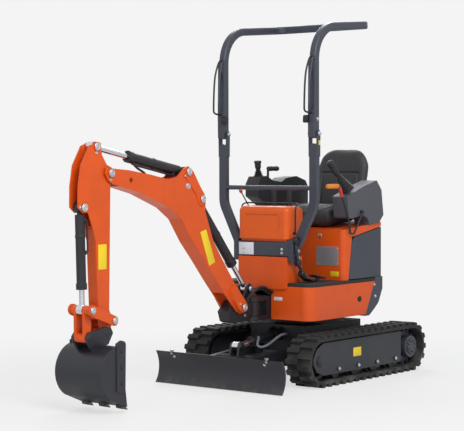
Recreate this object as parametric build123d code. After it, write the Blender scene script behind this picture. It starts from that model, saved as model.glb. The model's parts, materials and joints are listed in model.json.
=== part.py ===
from build123d import *
import os
from math import atan2, cos, degrees, hypot, pi, radians, sin, sqrt, tan

# Mini excavator, millimetres. Lengths along X are measured from the slew axis,
# and every node is moved by slew_x when written, so the origin lies under the middle.
slew_x = -770.0
far = 3000.0

# Fits
seat_gap = 0.3
pin_clear = 0.5
side_clear = 2.0
door_gap = 6.0

# Tracks
track_outer_y = 495.0
shoe_width = 180.0
axle_x = 524.0
track_radius = 162.0
lug_height = 20.0
belt_thick = 18.0
lug_count = 41
lug_base = 42.0
lug_tip = 30.0
inner_run = track_radius - lug_height - belt_thick
track_middle_y = track_outer_y - shoe_width / 2

# Track frames and running gear
frame_plate = 12.0
frame_inner_y = track_outer_y - 159.0
frame_outer_y = track_outer_y - 21.0
frame_low = track_radius - 90.0
frame_high = track_radius + inner_run - 11.0
frame_nose = inner_run - 42.0
frame_tail_x = 124.0 - axle_x
roller_radius = 48.0
roller_xs = [axle_x * share for share in (-0.63, -0.21, 0.21, 0.63)]
roller_z = track_radius - inner_run + roller_radius + seat_gap
axle_radius = 22.0
roller_bolt = 15.0
sprocket_teeth = 13
cover_radius = inner_run - 52.0

# Car body and slew ring
car_front = 330.0
car_back = -300.0
car_half = 220.0
car_low = 180.0
car_high = 350.0
car_wall = 12.0
tube_x = 200.0
tube_half = 50.0
tube_end_y = frame_inner_y - seat_gap
tube_low = track_radius + 23.0
tube_high = frame_high - 5.0
ring_radius = 222.0
ring_inner = 150.0
ring_step = 12.0
ring_high = 398.0

# Blade
blade_half = 495.0
wing_width = 112.0
blade_thick = 12.0
blade_low = 5.0
blade_high = 206.0
blade_x = 968.0
blade_sag = 36.0
blade_pivot = (car_front + 48.0, 190.0)
blade_arm_y = 150.0
blade_arm_half = 16.0
blade_ear = 14.0
blade_barrel_pin = (car_front + 32.0, 292.0)
blade_rod_pin = (758.0, 246.0)

# Upper body
body_half = 372.0
body_front = 487.0
body_corner = 70.0
tail_radius = 500.0
skirt_low = 400.0
skirt_high = 612.0
panel_thick = 8.0
floor_high = skirt_high + 20.0
weight_low = 390.0
weight_high = floor_high + 6.0
weight_thick = 130.0
weight_foot = tail_radius - 90.0
weight_waist = tail_radius - 30.0
seam_low_x = -128.0
seam_high_x = -252.0
frame_floor = 26.0
engine_front = 20.0
engine_half = 205.0
engine_back = door_gap - sqrt((tail_radius - weight_thick) ** 2 - engine_half ** 2)

# Seat base, deck and covers
base_front = 100.0
base_half = body_half - 10.0
base_corner = 40.0
deck_back_high = 1000.0
deck_front_high = deck_back_high - 40.0
engine_high = deck_front_high - 80.0
deck_knee_x = -350.0
deck_thick = 12.0
hood_inset = body_half - base_half
hood_front_high = deck_front_high - 45.0
hood_back_high = deck_back_high - 30.0
hood_knee_x = -330.0
hood_seam_low = (59.0, floor_high - 32.0)
hood_seam_high = (0.0, deck_back_high)
hood_corner = 30.0
hood_hinge_x = 78.0 - sqrt((tail_radius - hood_inset) ** 2 - (body_half - hood_inset) ** 2)
hood_pin = 6.0
hood_boss = hood_pin + 6.0
hood_height = hood_front_high - floor_high
knuckle_half = hood_height / 14
knuckle_zs = (floor_high + 0.24 * hood_height, floor_high + 0.88 * hood_height)
slot_count = 6
slot_half = 95.0

# Swing post
swing_x = 610.0
post_half = 58.0
post_low = 399.0
post_high = 548.0
post_plate = 28.0
post_back = body_front - 117.0
hub_radius = 52.0
swing_pin = 22.0

# Pedestal
pedestal_half = 192.0
pedestal_back = body_front - 157.0
pedestal_lip = 10.0
lip_low = skirt_high - 20.0
band_low = floor_high + 165.0
band_high = band_low + 96.0
band_half = pedestal_half + 7.0
band_back = body_front - 63.0
band_front = body_front + 6.0
band_wall = 9.0
cowl_neck = 16.0
cowl_high = band_high + 224.0
cowl_round = 34.0

# Roll bar
bar_x = 432.0
bar_half = 359.0
bar_wide = 54.0
bar_deep = 36.0
bar_bend_z = 1130.0
bar_split_z = 1514.0
bar_foot_z = band_high - 17.0
bar_bend = 150.0
cheek_thick = 6.0
hoop_size = bar_wide - 2 * side_clear
hoop_front_z = 2238.0
hoop_rear_z = 2288.0
hoop_rear_x = -180.0
hoop_bend = 220.0
hoop_corner = 75.0
bar_hinge = (bar_x - 2.0, bar_split_z + 61.0)
hinge_pin = 9.0
rail_z = 1233.0
rail_radius = 15.0

# Seat and consoles
seat_half = 225.0
seat_front = base_front - 30.0
seat_back_x = 170.0 - tail_radius
cushion_high = deck_back_high + 122.0
back_half = seat_half - 13.0
back_high = cushion_high + 368.0
console_inner_y = seat_half + 32.0
console_outer_y = body_half
stick_radius = 9.0
grip_radius = 19.0

# Front linkage pins, side view
boom_pin = (788.0, 497.0)
boom_barrel_pin = (1168.0, 1176.0)
boom_rod_pin = (674.0, 602.0)
arm_barrel_pin = (1297.0, 1341.0)
arm_pin = (1976.0, 1338.0)
arm_rod_pin = (2073.0, 1486.0)
bucket_barrel_pin = (2178.0, 1149.0)
bucket_rod_pin = (2160.0, 579.0)
guide_pin = (1979.0, 509.0)
bucket_pin = (2013.0, 439.0)
link_pin = (2158.0, 425.0)

# Lifting and tie-down bores
lift_eye = (arm_pin[0] - 171.0, arm_pin[1] - 42.0)
lift_radius = 14.0
tie_radius = 12.0
tie_plate = 14.0
tie_round = 26.0
blade_tie = (blade_x - 72.0, 75.0)
blade_tie_y = blade_half - wing_width - 83.0
rear_tie = (car_back - 26.0, 225.0)
rear_tie_y = 120.0

# Front linkage widths, half values
plate_thick = 8.0
boom_half = 52.0
foot_flare = 26.0
crest_plate = 6.0
arm_half = 35.0
bracket_half = 40.0
ear_inner = 24.0
eye_half = ear_inner - side_clear
bucket_half = 175.0
bucket_shell = 7.0
cutter_thick = 6.0
bucket_ear_inner = arm_half + 9.0
bucket_ear_outer = bucket_ear_inner + 16.0
guide_inner = bucket_ear_outer + 8.0
guide_outer = guide_inner + 12.0
link_half = bucket_ear_inner - 3.0
pin_radius = 18.0
guide_pin_radius = pin_radius - 4.0
eye_radius = 30.0
link_round = 27.0
tooth_half = 22.0
tooth_pitch = 130.0

# Cylinders: barrel radius, rod radius, barrel length, start of rod inside the barrel
boom_cylinder = (30.0, 16.0, 545.0, 200.0)
arm_cylinder = (31.0, 17.0, 494.0, 330.0)
bucket_cylinder = (27.0, 15.0, 455.0, 176.0)
blade_cylinder = (29.0, 15.0, 262.0, 150.0)
barrel_head = 70.0
gland_length = 34.0
gland_step = 4.0


def block(x0, x1, y0, y1, z0, z1):
    return Pos((x0 + x1) / 2, (y0 + y1) / 2, (z0 + z1) / 2) * Box(x1 - x0, y1 - y0, z1 - z0)


def region(x0=-far, x1=far, y0=-far, y1=far, z0=-far, z1=far):
    return block(x0, x1, y0, y1, z0, z1)


def by(pin, *offsets):
    return [(pin[0] + x, pin[1] + z) for x, z in offsets]


def side_plate(points, y0, y1):
    outline = Polyline(*[(x, y0, z) for x, z in points], close=True)
    return extrude(make_face(outline), amount=y1 - y0, dir=(0, 1, 0))


def below_line(points, drop):
    (front_x, front_z), (back_x, back_z) = points
    outline = [(far, front_z - drop), (front_x, front_z - drop), (back_x, back_z - drop)]
    return side_plate(outline + [(-far, back_z - drop), (-far, -far), (far, -far)], -far, far)


def both_sides(part):
    return part + mirror(part, about=Plane.XZ)


def beside(part, y):
    return part + mirror(part, about=Plane(origin=(0, y, 0), z_dir=(0, 1, 0)))


def cross_pin(point, y0, y1, radius):
    return Pos(point[0], (y0 + y1) / 2, point[1]) * Rot(90, 0, 0) * Cylinder(radius, y1 - y0)


def centre_pin(point, half, radius):
    return cross_pin(point, -half, half, radius)


def post(x, y, z0, z1, radius):
    return Pos(x, y, (z0 + z1) / 2) * Cylinder(radius, z1 - z0)


def along(start, end, distance):
    share = distance / hypot(end[0] - start[0], end[1] - start[1])
    return (start[0] + share * (end[0] - start[0]), start[1] + share * (end[1] - start[1]))


def rod(start, end, radius):
    length = hypot(end[0] - start[0], end[1] - start[1])
    angle = degrees(atan2(end[1] - start[1], end[0] - start[0]))
    middle = ((start[0] + end[0]) / 2, (start[1] + end[1]) / 2)
    return Pos(middle[0], 0, middle[1]) * Rot(0, 90 - angle, 0) * Cylinder(radius, length)


def strip(points, shift, half):
    inner = [(x + shift[0], z + shift[1]) for x, z in reversed(points)]
    return side_plate(list(points) + inner, -half, half)


def bent_path(points, bends):
    corners = [Vector(*p) for p in points]
    edges = []
    start = corners[0]
    for before, corner, after, bend in zip(corners, corners[1:], corners[2:], bends):
        back = (before - corner).normalized()
        ahead = (after - corner).normalized()
        half = radians(back.get_angle(ahead)) / 2
        entry = corner + back * (bend / tan(half))
        leave = corner + ahead * (bend / tan(half))
        middle = corner + (back + ahead).normalized() * (bend / sin(half) - bend)
        edges.append(Line(start, entry))
        edges.append(ThreePointArc(entry, middle, leave))
        start = leave
    edges.append(Line(start, corners[-1]))
    return Wire(edges)


def bent_bar(points, bends, radius):
    path = bent_path(points, bends)
    return sweep(Plane(origin=path @ 0, z_dir=path % 0) * Circle(radius), path=path)


def barrel(cylinder, barrel_pin, rod_pin):
    outer, inner, length, start = cylinder
    end = along(barrel_pin, rod_pin, length)
    body = rod(along(barrel_pin, rod_pin, barrel_head - 30), end, outer)
    body += rod(along(barrel_pin, rod_pin, length - gland_length), end, outer + gland_step)
    body += rod(barrel_pin, along(barrel_pin, rod_pin, barrel_head), inner)
    body += centre_pin(barrel_pin, eye_half, eye_radius)
    bore_end = along(barrel_pin, rod_pin, length + 1)
    body -= rod(along(barrel_pin, rod_pin, barrel_head - 10), bore_end, inner + pin_clear)
    return body - centre_pin(barrel_pin, eye_half + 1, pin_radius + pin_clear)


def piston_rod(cylinder, barrel_pin, rod_pin):
    inner, start = cylinder[1], cylinder[3]
    shaft = rod(along(barrel_pin, rod_pin, start), rod_pin, inner)
    return shaft + centre_pin(rod_pin, eye_half, eye_radius)


nodes = {}


# Undercarriage

def track_outline(phase):
    straight = 2 * axle_x
    base = track_radius - lug_height
    arc = pi * track_radius
    loop = 2 * straight + 2 * arc
    corners = ((-lug_base, base), (-lug_tip, track_radius), (lug_tip, track_radius), (lug_base, base))
    points = []
    for i in range(lug_count):
        for offset, reach in corners:
            s = ((i + phase) * loop / lug_count + offset / 2) % loop
            if s < straight:
                points.append((-axle_x + s, track_radius - reach))
            elif s < straight + arc:
                turn = (s - straight) / track_radius - pi / 2
                points.append((axle_x + reach * cos(turn), track_radius + reach * sin(turn)))
            elif s < 2 * straight + arc:
                points.append((axle_x - (s - straight - arc), track_radius + reach))
            else:
                turn = (s - 2 * straight - arc) / track_radius + pi / 2
                points.append((-axle_x + reach * cos(turn), track_radius + reach * sin(turn)))
    return points


def track():
    inner_y = track_outer_y - shoe_width
    loop = side_plate(track_outline(0.25), inner_y, track_middle_y)
    loop += side_plate(track_outline(0.75), track_middle_y, track_outer_y)
    hollow = region(-axle_x, axle_x, z0=track_radius - inner_run, z1=track_radius + inner_run)
    for end_x in (-axle_x, axle_x):
        hollow += cross_pin((end_x, track_radius), -far, far, inner_run)
    return loop - hollow


nodes["track_left"] = track()
nodes["track_right"] = mirror(nodes["track_left"], about=Plane.XZ)


def eye_plate(pin, root_x, drop, rise, y0):
    nose = by(pin, (0, -35), (32, -18), (32, 18), (0, 35))
    return side_plate([(root_x, pin[1] - drop)] + nose + [(root_x, pin[1] + rise)], y0, y0 + blade_ear)


car_body = block(car_back, car_front, -car_half, car_half, car_low, car_high)
car_body -= block(
    car_back + car_wall, car_front - car_wall, car_wall - car_half, car_half - car_wall,
    car_low - 1, car_high - car_wall)
for x in (-tube_x, tube_x):
    tube = block(x - tube_half, x + tube_half, car_half - car_wall / 2, tube_end_y, tube_low, tube_high)
    car_body += both_sides(tube)
car_body += post(0, 0, car_high, car_high + ring_step, ring_radius)
ear_y = blade_arm_y + blade_arm_half + side_clear
pivot_ears = beside(eye_plate(blade_pivot, car_front, 30, 35, ear_y), blade_arm_y)
pivot_ears += cross_pin(blade_pivot, 2 * blade_arm_y - ear_y - 2, ear_y + 2, pin_radius)
car_body += both_sides(pivot_ears)
car_body += both_sides(eye_plate(blade_barrel_pin, car_front, 42, 43, ear_inner))
car_body += centre_pin(blade_barrel_pin, ear_inner + blade_ear, pin_radius)
rear_low = rear_tie[1] - tie_plate / 2
rear_high = rear_tie[1] + tie_plate / 2
rear_lug = block(
    rear_tie[0], car_back + 5, rear_tie_y - tie_round, rear_tie_y + tie_round, rear_low, rear_high)
rear_lug += post(rear_tie[0], rear_tie_y, rear_low, rear_high, tie_round)
rear_lug -= post(rear_tie[0], rear_tie_y, rear_low - 1, rear_high + 1, tie_radius)
nodes["car_body"] = car_body + both_sides(rear_lug)

ring_low = car_high + ring_step + seat_gap
nodes["slew_ring"] = post(0, 0, ring_low, ring_high, ring_radius) - post(0, 0, 0, far, ring_inner)

nose_end = by(
    (axle_x, track_radius), (-24, frame_low - track_radius), (frame_nose - 36, -62), (frame_nose, -12),
    (frame_nose, 18), (frame_nose - 36, 78), (-24, frame_high - track_radius))
outer_plate = [(frame_tail_x, frame_low)] + nose_end + [(frame_tail_x, frame_high)]
inner_plate = [(-axle_x, frame_low)] + nose_end + [(-axle_x, frame_high)]
frame = side_plate(outer_plate, frame_outer_y - frame_plate, frame_outer_y)
frame += side_plate(inner_plate, frame_inner_y, frame_inner_y + frame_plate)
frame += cross_pin((-axle_x, track_radius), frame_inner_y, frame_inner_y + frame_plate, cover_radius + 20)
box_front = axle_x - 174
frame += block(frame_tail_x + 30, box_front, frame_inner_y, frame_outer_y, track_radius, frame_high)
frame -= block(
    frame_tail_x + 50, box_front - 20, frame_inner_y + frame_plate, frame_outer_y - frame_plate,
    0, frame_high - frame_plate)
for x in roller_xs:
    frame += cross_pin((x, roller_z + 14), frame_outer_y, frame_outer_y + 6, roller_bolt)
nodes["track_frames"] = both_sides(frame)

axle_y0 = frame_inner_y + frame_plate + seat_gap
axle_y1 = frame_outer_y - frame_plate - seat_gap
idler_at = (axle_x, track_radius)
gear = cross_pin(idler_at, track_middle_y - 30, track_middle_y + 30, inner_run - seat_gap)
for y0, y1 in ((-31, -12), (12, 31)):
    gear -= cross_pin(idler_at, track_middle_y + y0, track_middle_y + y1, inner_run - 28)
gear += cross_pin(idler_at, axle_y0, axle_y1, axle_radius + 14)
for x in roller_xs:
    gear += cross_pin((x, roller_z), axle_y0, axle_y1, axle_radius)
    for y0, y1 in ((-42, -18), (18, 42)):
        gear += cross_pin((x, roller_z), track_middle_y + y0, track_middle_y + y1, roller_radius)
nodes["rollers"] = both_sides(gear)

drive_at = (-axle_x, track_radius)
tooth_points = []
for i in range(sprocket_teeth * 4):
    reach = inner_run - (seat_gap if i % 4 < 2 else 24)
    turn = 2 * pi * i / (sprocket_teeth * 4)
    tooth_points.append((drive_at[0] + reach * cos(turn), drive_at[1] + reach * sin(turn)))
sprocket = side_plate(tooth_points, track_middle_y - 20, track_middle_y + 20)
sprocket += cross_pin(drive_at, axle_y0, track_middle_y, cover_radius + 12)
sprocket += cross_pin(drive_at, track_middle_y, frame_outer_y, cover_radius)
sprocket += cross_pin(drive_at, track_middle_y, frame_outer_y + 8, cover_radius - 22)
nodes["sprockets"] = both_sides(sprocket)


# Blade

def blade_profile(y0, y1):
    middle = (blade_x - blade_sag, (blade_low + blade_high) / 2)
    arc = [(blade_x, blade_low), middle, (blade_x - 6, blade_high)]
    front = ThreePointArc(*[(x, y0, z) for x, z in arc])
    back = ThreePointArc(*[(x - blade_thick, y0, z) for x, z in reversed(arc)])
    edges = [front, Line(front @ 1, back @ 0), back, Line(back @ 1, front @ 0)]
    return extrude(make_face(Wire(edges)), amount=y1 - y0, dir=(0, 1, 0))


wing_y = blade_half - wing_width
blade = blade_profile(-wing_y, wing_y)
blade_back = blade_x - blade_sag - blade_thick
arm_y0 = blade_arm_y - blade_arm_half
arm_y1 = blade_arm_y + blade_arm_half
blade_root = (blade_back, blade_low)
blade_edge = (blade_back, blade_high)
arm_under = by(blade_pivot, (-30, 0), (0, -30), (182, -50)) + by(blade_root, (-40, 35), (8, 35))
arm_over = by(blade_edge, (8, -31), (-60, -21), (-320, -1)) + by(blade_pivot, (0, 30))
blade_arm = side_plate(arm_under + arm_over, arm_y0, arm_y1)
blade_arm += cross_pin(blade_pivot, arm_y0, arm_y1, eye_radius)
blade_arm -= cross_pin(blade_pivot, 0, far, pin_radius + pin_clear)
blade += both_sides(blade_arm)
rod_root = blade_rod_pin[1] - 66
blade += block(
    blade_rod_pin[0] - 58, blade_rod_pin[0] + 42, -blade_arm_y, blade_arm_y, rod_root - 40, rod_root + 10)
rod_ear = side_plate(
    by(blade_rod_pin, (-43, -66), (-28, -6), (-12, 26), (12, 26), (28, -6), (42, -66)),
    ear_inner, ear_inner + blade_ear)
blade += both_sides(rod_ear + cross_pin(blade_rod_pin, ear_inner, ear_inner + blade_ear + 8, pin_radius))
tie_y0 = blade_tie_y - tie_plate / 2
front_lug = side_plate(
    by(blade_tie, (46, -37), (-12, -27), (-26, 0), (-12, 27), (30, 43)), tie_y0, tie_y0 + tie_plate)
front_lug -= cross_pin(blade_tie, 0, far, tie_radius)
nodes["blade"] = blade + both_sides(front_lug)
nodes["blade_wings"] = both_sides(blade_profile(wing_y + seat_gap, blade_half))
nodes["blade_barrel"] = barrel(blade_cylinder, blade_barrel_pin, blade_rod_pin)
nodes["blade_rod"] = piston_rod(blade_cylinder, blade_barrel_pin, blade_rod_pin)


# Upper body

def body_plan(inset, z0, z1):
    half = body_half - inset
    front = body_front - inset
    tail = tail_radius - inset
    corner = body_corner - inset / 2
    tail_x = -sqrt(tail * tail - half * half)
    slack = corner * (1 - sqrt(0.5))
    edges = [
        Line((tail_x, -half), (front - corner, -half)),
        ThreePointArc((front - corner, -half), (front - slack, slack - half), (front, corner - half)),
        Line((front, corner - half), (front, half - corner)),
        ThreePointArc((front, half - corner), (front - slack, half - slack), (front - corner, half)),
        Line((front - corner, half), (tail_x, half)),
        ThreePointArc((tail_x, half), (-tail, 0), (tail_x, -half))]
    return Pos(0, 0, z0) * extrude(make_face(Wire(edges)), amount=z1 - z0)


def body_wall(inset, thick, z0, z1):
    return body_plan(inset, z0, z1) - body_plan(inset + thick, z0 - 1, z1 + 1)


seam_slope = (seam_high_x - seam_low_x) / (weight_high - weight_low)
seam_foot_x = seam_low_x - 50 * seam_slope
behind_seam = side_plate(
    [(seam_foot_x, weight_low - 50), (seam_high_x, weight_high), (seam_high_x, far), (-far, far),
     (-far, weight_low - 50)], -far, far)
ahead_of_seam = region() - Pos(seat_gap, 0, 0) * behind_seam
post_gap = region(post_back, far, -post_half - 4, post_half + 4, z1=post_high + 44)

floor_plate_low = post_low - 0.5
frame_top = post_low + frame_floor
main_frame = (body_plan(panel_thick + seat_gap, floor_plate_low, frame_top) & ahead_of_seam) - post_gap
main_frame += body_plan(weight_thick + seat_gap, floor_plate_low, frame_top) - post_gap
for ear_z in (post_low, post_high - post_plate):
    main_frame += block(post_back, swing_x, -post_half, post_half, ear_z, ear_z + post_plate)
    main_frame += post(swing_x, 0, ear_z, ear_z + post_plate, post_half)
main_frame += block(post_back, swing_x - hub_radius - 30, -post_half, post_half, post_low, post_high)
main_frame += post(swing_x, 0, post_low, post_high, swing_pin)
nodes["main_frame"] = main_frame

skirt = (body_wall(0, panel_thick, skirt_low, skirt_high) & ahead_of_seam) - post_gap
hole_z = (skirt_low + skirt_high) / 2
for x in (seam_low_x + 56, seam_low_x + 80):
    skirt -= cross_pin((x, hole_z), -far, far, 13)
skirt -= region(seam_low_x + 56, seam_low_x + 80, z0=hole_z - 13, z1=hole_z + 13)
nodes["skirt"] = skirt

weight_outline = [
    (0, weight_low), (weight_foot, weight_low), (weight_waist, weight_low + 80),
    (tail_radius, weight_low + 170), (tail_radius, weight_high), (0, weight_high)]
weight_form = revolve(make_face(Polyline(*[(x, 0, z) for x, z in weight_outline], close=True)), axis=Axis.Z)
nodes["counterweight"] = body_wall(0, weight_thick, weight_low, weight_high) & behind_seam & weight_form

floor = body_plan(4, skirt_high + seat_gap, floor_high) & ahead_of_seam
floor -= region(-far, engine_front + 20, -base_half + 42, base_half - 42)
nodes["floor"] = floor

engine_low = frame_top + seat_gap
nodes["engine"] = block(engine_back, engine_front, -engine_half, engine_half, engine_low, engine_high)

# Seat base with its deck, fixed right cover and hinged hood
deck_line = [(base_front, deck_front_high), (deck_knee_x, deck_back_high)]
hood_line = [(hood_seam_high[0] - 10, hood_front_high), (hood_knee_x, hood_back_high)]
cover_low = floor_high + seat_gap


def base_form(inset):
    half = base_half - inset
    form = region(-far, base_front - inset, -half, half, cover_low - inset, deck_back_high + 50)
    return fillet(form.edges().filter_by(Axis.Z).sort_by(Axis.X)[-2:], base_corner - inset)


behind_front = side_plate(
    [hood_seam_low, hood_seam_high, (-far, hood_seam_high[1]), (-far, hood_seam_low[1])], -far, far)
under_deck = below_line(deck_line, 0)
base_wall = ((base_form(0) - base_form(panel_thick)) & under_deck) - behind_front
deck_plan = body_plan(hood_inset, cover_low, deck_back_high + 1) & base_form(0)
deck = (deck_plan & under_deck) - below_line(hood_line, 0)
hollow_plan = body_plan(hood_inset + panel_thick, cover_low, deck_back_high) & base_form(panel_thick)
deck -= hollow_plan & below_line(deck_line, deck_thick)
nodes["seat_base"] = base_wall + deck

hinge_y = -base_half
wall = body_wall(hood_inset, panel_thick, cover_low, deck_back_high)
right_cover = wall & below_line(hood_line, seat_gap) & Pos(-seat_gap, 0, 0) * behind_front
right_cover &= region(x0=hood_hinge_x + 3, y1=0)
hood = body_wall(hood_inset, panel_thick, floor_high + door_gap, deck_back_high)
hood &= below_line(hood_line, door_gap)
hood &= Pos(-door_gap, 0, 0) * behind_front
hood -= region(x0=hood_hinge_x - 3, y1=0)
corner_x = hood_seam_high[0] + 13 - door_gap - hood_corner
corner_z = hood_front_high - door_gap - hood_corner
hood -= region(x0=corner_x, z0=corner_z, y0=0) - cross_pin((corner_x, corner_z), -1, far, hood_corner)
slot_step = 0.7 * hood_height / slot_count
for i in range(slot_count):
    slot_z = floor_high + 0.2 * hood_height + i * slot_step
    hood -= region(x1=-tail_radius / 2, y0=-slot_half, y1=slot_half, z0=slot_z, z1=slot_z + slot_step / 3)
for z in knuckle_zs:
    low, high = z - knuckle_half, z + knuckle_half
    space = knuckle_half + door_gap
    hood -= post(hood_hinge_x, hinge_y, low - space, high + space, hood_boss + side_clear)
    right_cover -= post(
        hood_hinge_x, hinge_y, low - side_clear, high + side_clear, hood_boss + side_clear)
for z in knuckle_zs:
    low, high = z - knuckle_half, z + knuckle_half
    knuckle = post(hood_hinge_x, hinge_y, low, high, hood_boss)
    knuckle += block(hood_hinge_x - 16, hood_hinge_x, hinge_y, hinge_y + panel_thick, low, high)
    hood += knuckle - post(hood_hinge_x, hinge_y, low - 1, high + 1, hood_pin + pin_clear)
    ends = (low - knuckle_half, high + knuckle_half)
    right_cover += post(hood_hinge_x, hinge_y, ends[0], ends[1], hood_pin)
    for z0, z1 in ((ends[0], low - pin_clear), (high + pin_clear, ends[1])):
        right_cover += post(hood_hinge_x, hinge_y, z0, z1, hood_boss)
        right_cover += block(hood_hinge_x, hood_hinge_x + 16, hinge_y, hinge_y + panel_thick, z0, z1)
nodes["right_cover"] = right_cover
nodes["hood"] = hood

# Pedestal
lip_back = body_front + seat_gap
lip_front = body_front + pedestal_lip
lower = block(pedestal_back, lip_front, -pedestal_half, pedestal_half, cover_low, band_low - seat_gap)
lower += block(lip_back, lip_front, -pedestal_half, pedestal_half, lip_low, band_low - seat_gap)
lower -= block(
    pedestal_back - 1, body_front, band_wall - pedestal_half, pedestal_half - band_wall,
    cover_low - 1, band_low - band_wall)
lip_corners = lower.edges().filter_by(Axis.X).group_by(Axis.Z)[0]
nodes["pedestal_lower"] = fillet(lip_corners, pedestal_lip * 2)
band = block(band_back, band_front, -band_half, band_half, band_low, band_high)
band = fillet(band.edges().filter_by(Axis.Y).sort_by(Axis.X)[-2:], band_wall + 3)
nodes["pedestal_band"] = band - block(
    band_back + band_wall, band_front - band_wall, -far, far, band_low + band_wall, band_high - band_wall)
cowl_half = band_half - 2
cowl_front = band_front + 6
cowl_low = band_high + cowl_neck
cowl = block(pedestal_back, cowl_front, -cowl_half, cowl_half, cowl_low, cowl_high)
cowl_edges = cowl.edges().filter_by(Axis.Z).sort_by(Axis.X)[-2:] + cowl.faces().sort_by(Axis.Z)[-1].edges()
cowl = fillet(cowl_edges, cowl_round)
panel = block(cowl_front - 4, cowl_front + 1, 64 - cowl_half, cowl_half - 64, cowl_low + 44, cowl_high - 52)
cowl -= fillet(panel.edges().filter_by(Axis.X), 18)
cowl += block(
    pedestal_back, band_front - 14, 16 - cowl_half, cowl_half - 16, band_high + seat_gap, cowl_low + 1)
nodes["cowl"] = cowl - block(
    pedestal_back - 1, band_front - 24, 28 - cowl_half, cowl_half - 28, band_high, cowl_high - 12)

# Roll bar
bar_top = bar_split_z - bar_wide / 2
lower_corners = [(bar_half, bar_top), (bar_half, bar_bend_z), (band_half + 32, bar_foot_z)]
lower_path = bent_path([(bar_x, y, z) for y, z in lower_corners], [bar_bend])
lower_plane = Plane(origin=lower_path @ 0, x_dir=(1, 0, 0), z_dir=lower_path % 0)
lower_bar = sweep(lower_plane * Rectangle(bar_deep, bar_wide), path=lower_path)
lower_bar += Pos(bar_x, bar_half, bar_top) * Rot(0, 90, 0) * Cylinder(bar_wide / 2, bar_deep)
foot_y0 = band_half + seat_gap
lower_bar += block(bar_x - 24, band_front - 2, foot_y0, foot_y0 + 34, bar_foot_z - 108, bar_foot_z + 29)
cheek_y = bar_half + bar_wide / 2
cheek = side_plate(
    by(bar_hinge, (-16, -145), (18, -145), (20, 8), (10, 22), (-10, 22), (-18, 8)),
    cheek_y, cheek_y + cheek_thick)
lower_bar += beside(cheek, bar_half)
pin_reach = bar_wide / 2 + cheek_thick + 5
lower_bar += cross_pin(bar_hinge, bar_half - pin_reach, bar_half + pin_reach, hinge_pin)
rail = cross_pin((bar_x, rail_z), -bar_half, bar_half, rail_radius)
nodes["rops_lower"] = both_sides(lower_bar) + rail

hoop_end_z = bar_hinge[1] - 30
hoop_side = [
    (bar_x, -bar_half, hoop_end_z), (bar_x, -bar_half, hoop_front_z), (hoop_rear_x, -bar_half, hoop_rear_z)]
hoop_path = bent_path(
    hoop_side + [(x, -y, z) for x, y, z in reversed(hoop_side)],
    [hoop_bend, hoop_corner, hoop_corner, hoop_bend])
hoop_plane = Plane(origin=hoop_path @ 0, x_dir=(1, 0, 0), z_dir=hoop_path % 0)
hoop = sweep(hoop_plane * RectangleRounded(hoop_size, hoop_size, hoop_size / 4), path=hoop_path)
channel_half = hoop_size / 2
channel = side_plate(
    by(bar_hinge, (10, -23), (35, -23), (37, 106), (32, 447), (24, 475), (10, 475)),
    bar_half - channel_half, bar_half + channel_half)
hoop += both_sides(channel)
handle_x = bar_x + channel_half - 4
handle_points = [(handle_x, 479), (bar_hinge[0] + 50, 341), (bar_hinge[0] + 61, 155), (handle_x, 136)]
handle = bent_bar([(x, bar_half, bar_hinge[1] + z) for x, z in handle_points], [14, 60, 14], 6)
hoop += both_sides(handle)
nodes["rops_upper"] = hoop - centre_pin(bar_hinge, far, hinge_pin + pin_clear)

# Seat, consoles and controls
above_deck = region() - below_line(deck_line, -seat_gap)
cushion = block(seat_back_x, seat_front, -seat_half, seat_half, deck_front_high - 40, cushion_high)
cushion = fillet(cushion.edges().filter_by(Axis.Z) + cushion.faces().sort_by(Axis.Z)[-1].edges(), 40)
nodes["seat_cushion"] = cushion & above_deck
back_x = seat_back_x - seat_gap
back_outline = [(back_x, deck_front_high), (back_x, cushion_high - 10), (back_x - 70, back_high - 20)]
back_outline += [(back_x - 95, back_high), (back_x - 135, back_high), (back_x - 152, back_high - 20)]
back_outline += [(back_x - 82, cushion_high - 10), (back_x - 70, deck_front_high)]
seat_back = side_plate(back_outline, -back_half, back_half)
front_view = region(-far, far, -back_half, back_half, 0, back_high)
seat_back &= fillet(front_view.edges().filter_by(Axis.X).group_by(Axis.Z)[-1], 130)
nodes["seat_back"] = seat_back & above_deck

pod_foot = (seat_back_x + 94, deck_back_high)
pod = side_plate(
    by(pod_foot, (321, 173), (121, 239), (-27, 275), (-85, 211), (-110, 45), (-64, 2), (-64, -40),
       (63, -40), (63, 2), (86, 32), (142, 52), (265, 30), (304, 38)), console_inner_y, console_outer_y)
nodes["console_left"] = fillet(pod.edges().filter_by(Axis.Y), 9) & above_deck
box_foot = (seat_back_x + 90, deck_back_high)
right_box = side_plate(
    by(box_foot, (-129, -60), (-129, 230), (-100, 270), (4, 300), (120, 290), (180, 262), (280, 275),
       (340, 305), (405, 300), (440, 250), (440, 170), (330, 110), (280, -60)), -base_half, -console_inner_y)
nodes["console_right"] = right_box & above_deck


def stick(base, top, boot):
    lean = Vector(*top) - Vector(*base)
    grip_start = Vector(*base) + lean * 0.45
    form = bent_bar([base, top], [], stick_radius) + bent_bar([grip_start, top], [], grip_radius)
    boot_form = Pos(0, 0, 0.2 * lean.length) * Cone(boot, stick_radius + 4, 0.4 * lean.length)
    return form + Plane(origin=base, z_dir=lean) * boot_form


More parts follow.
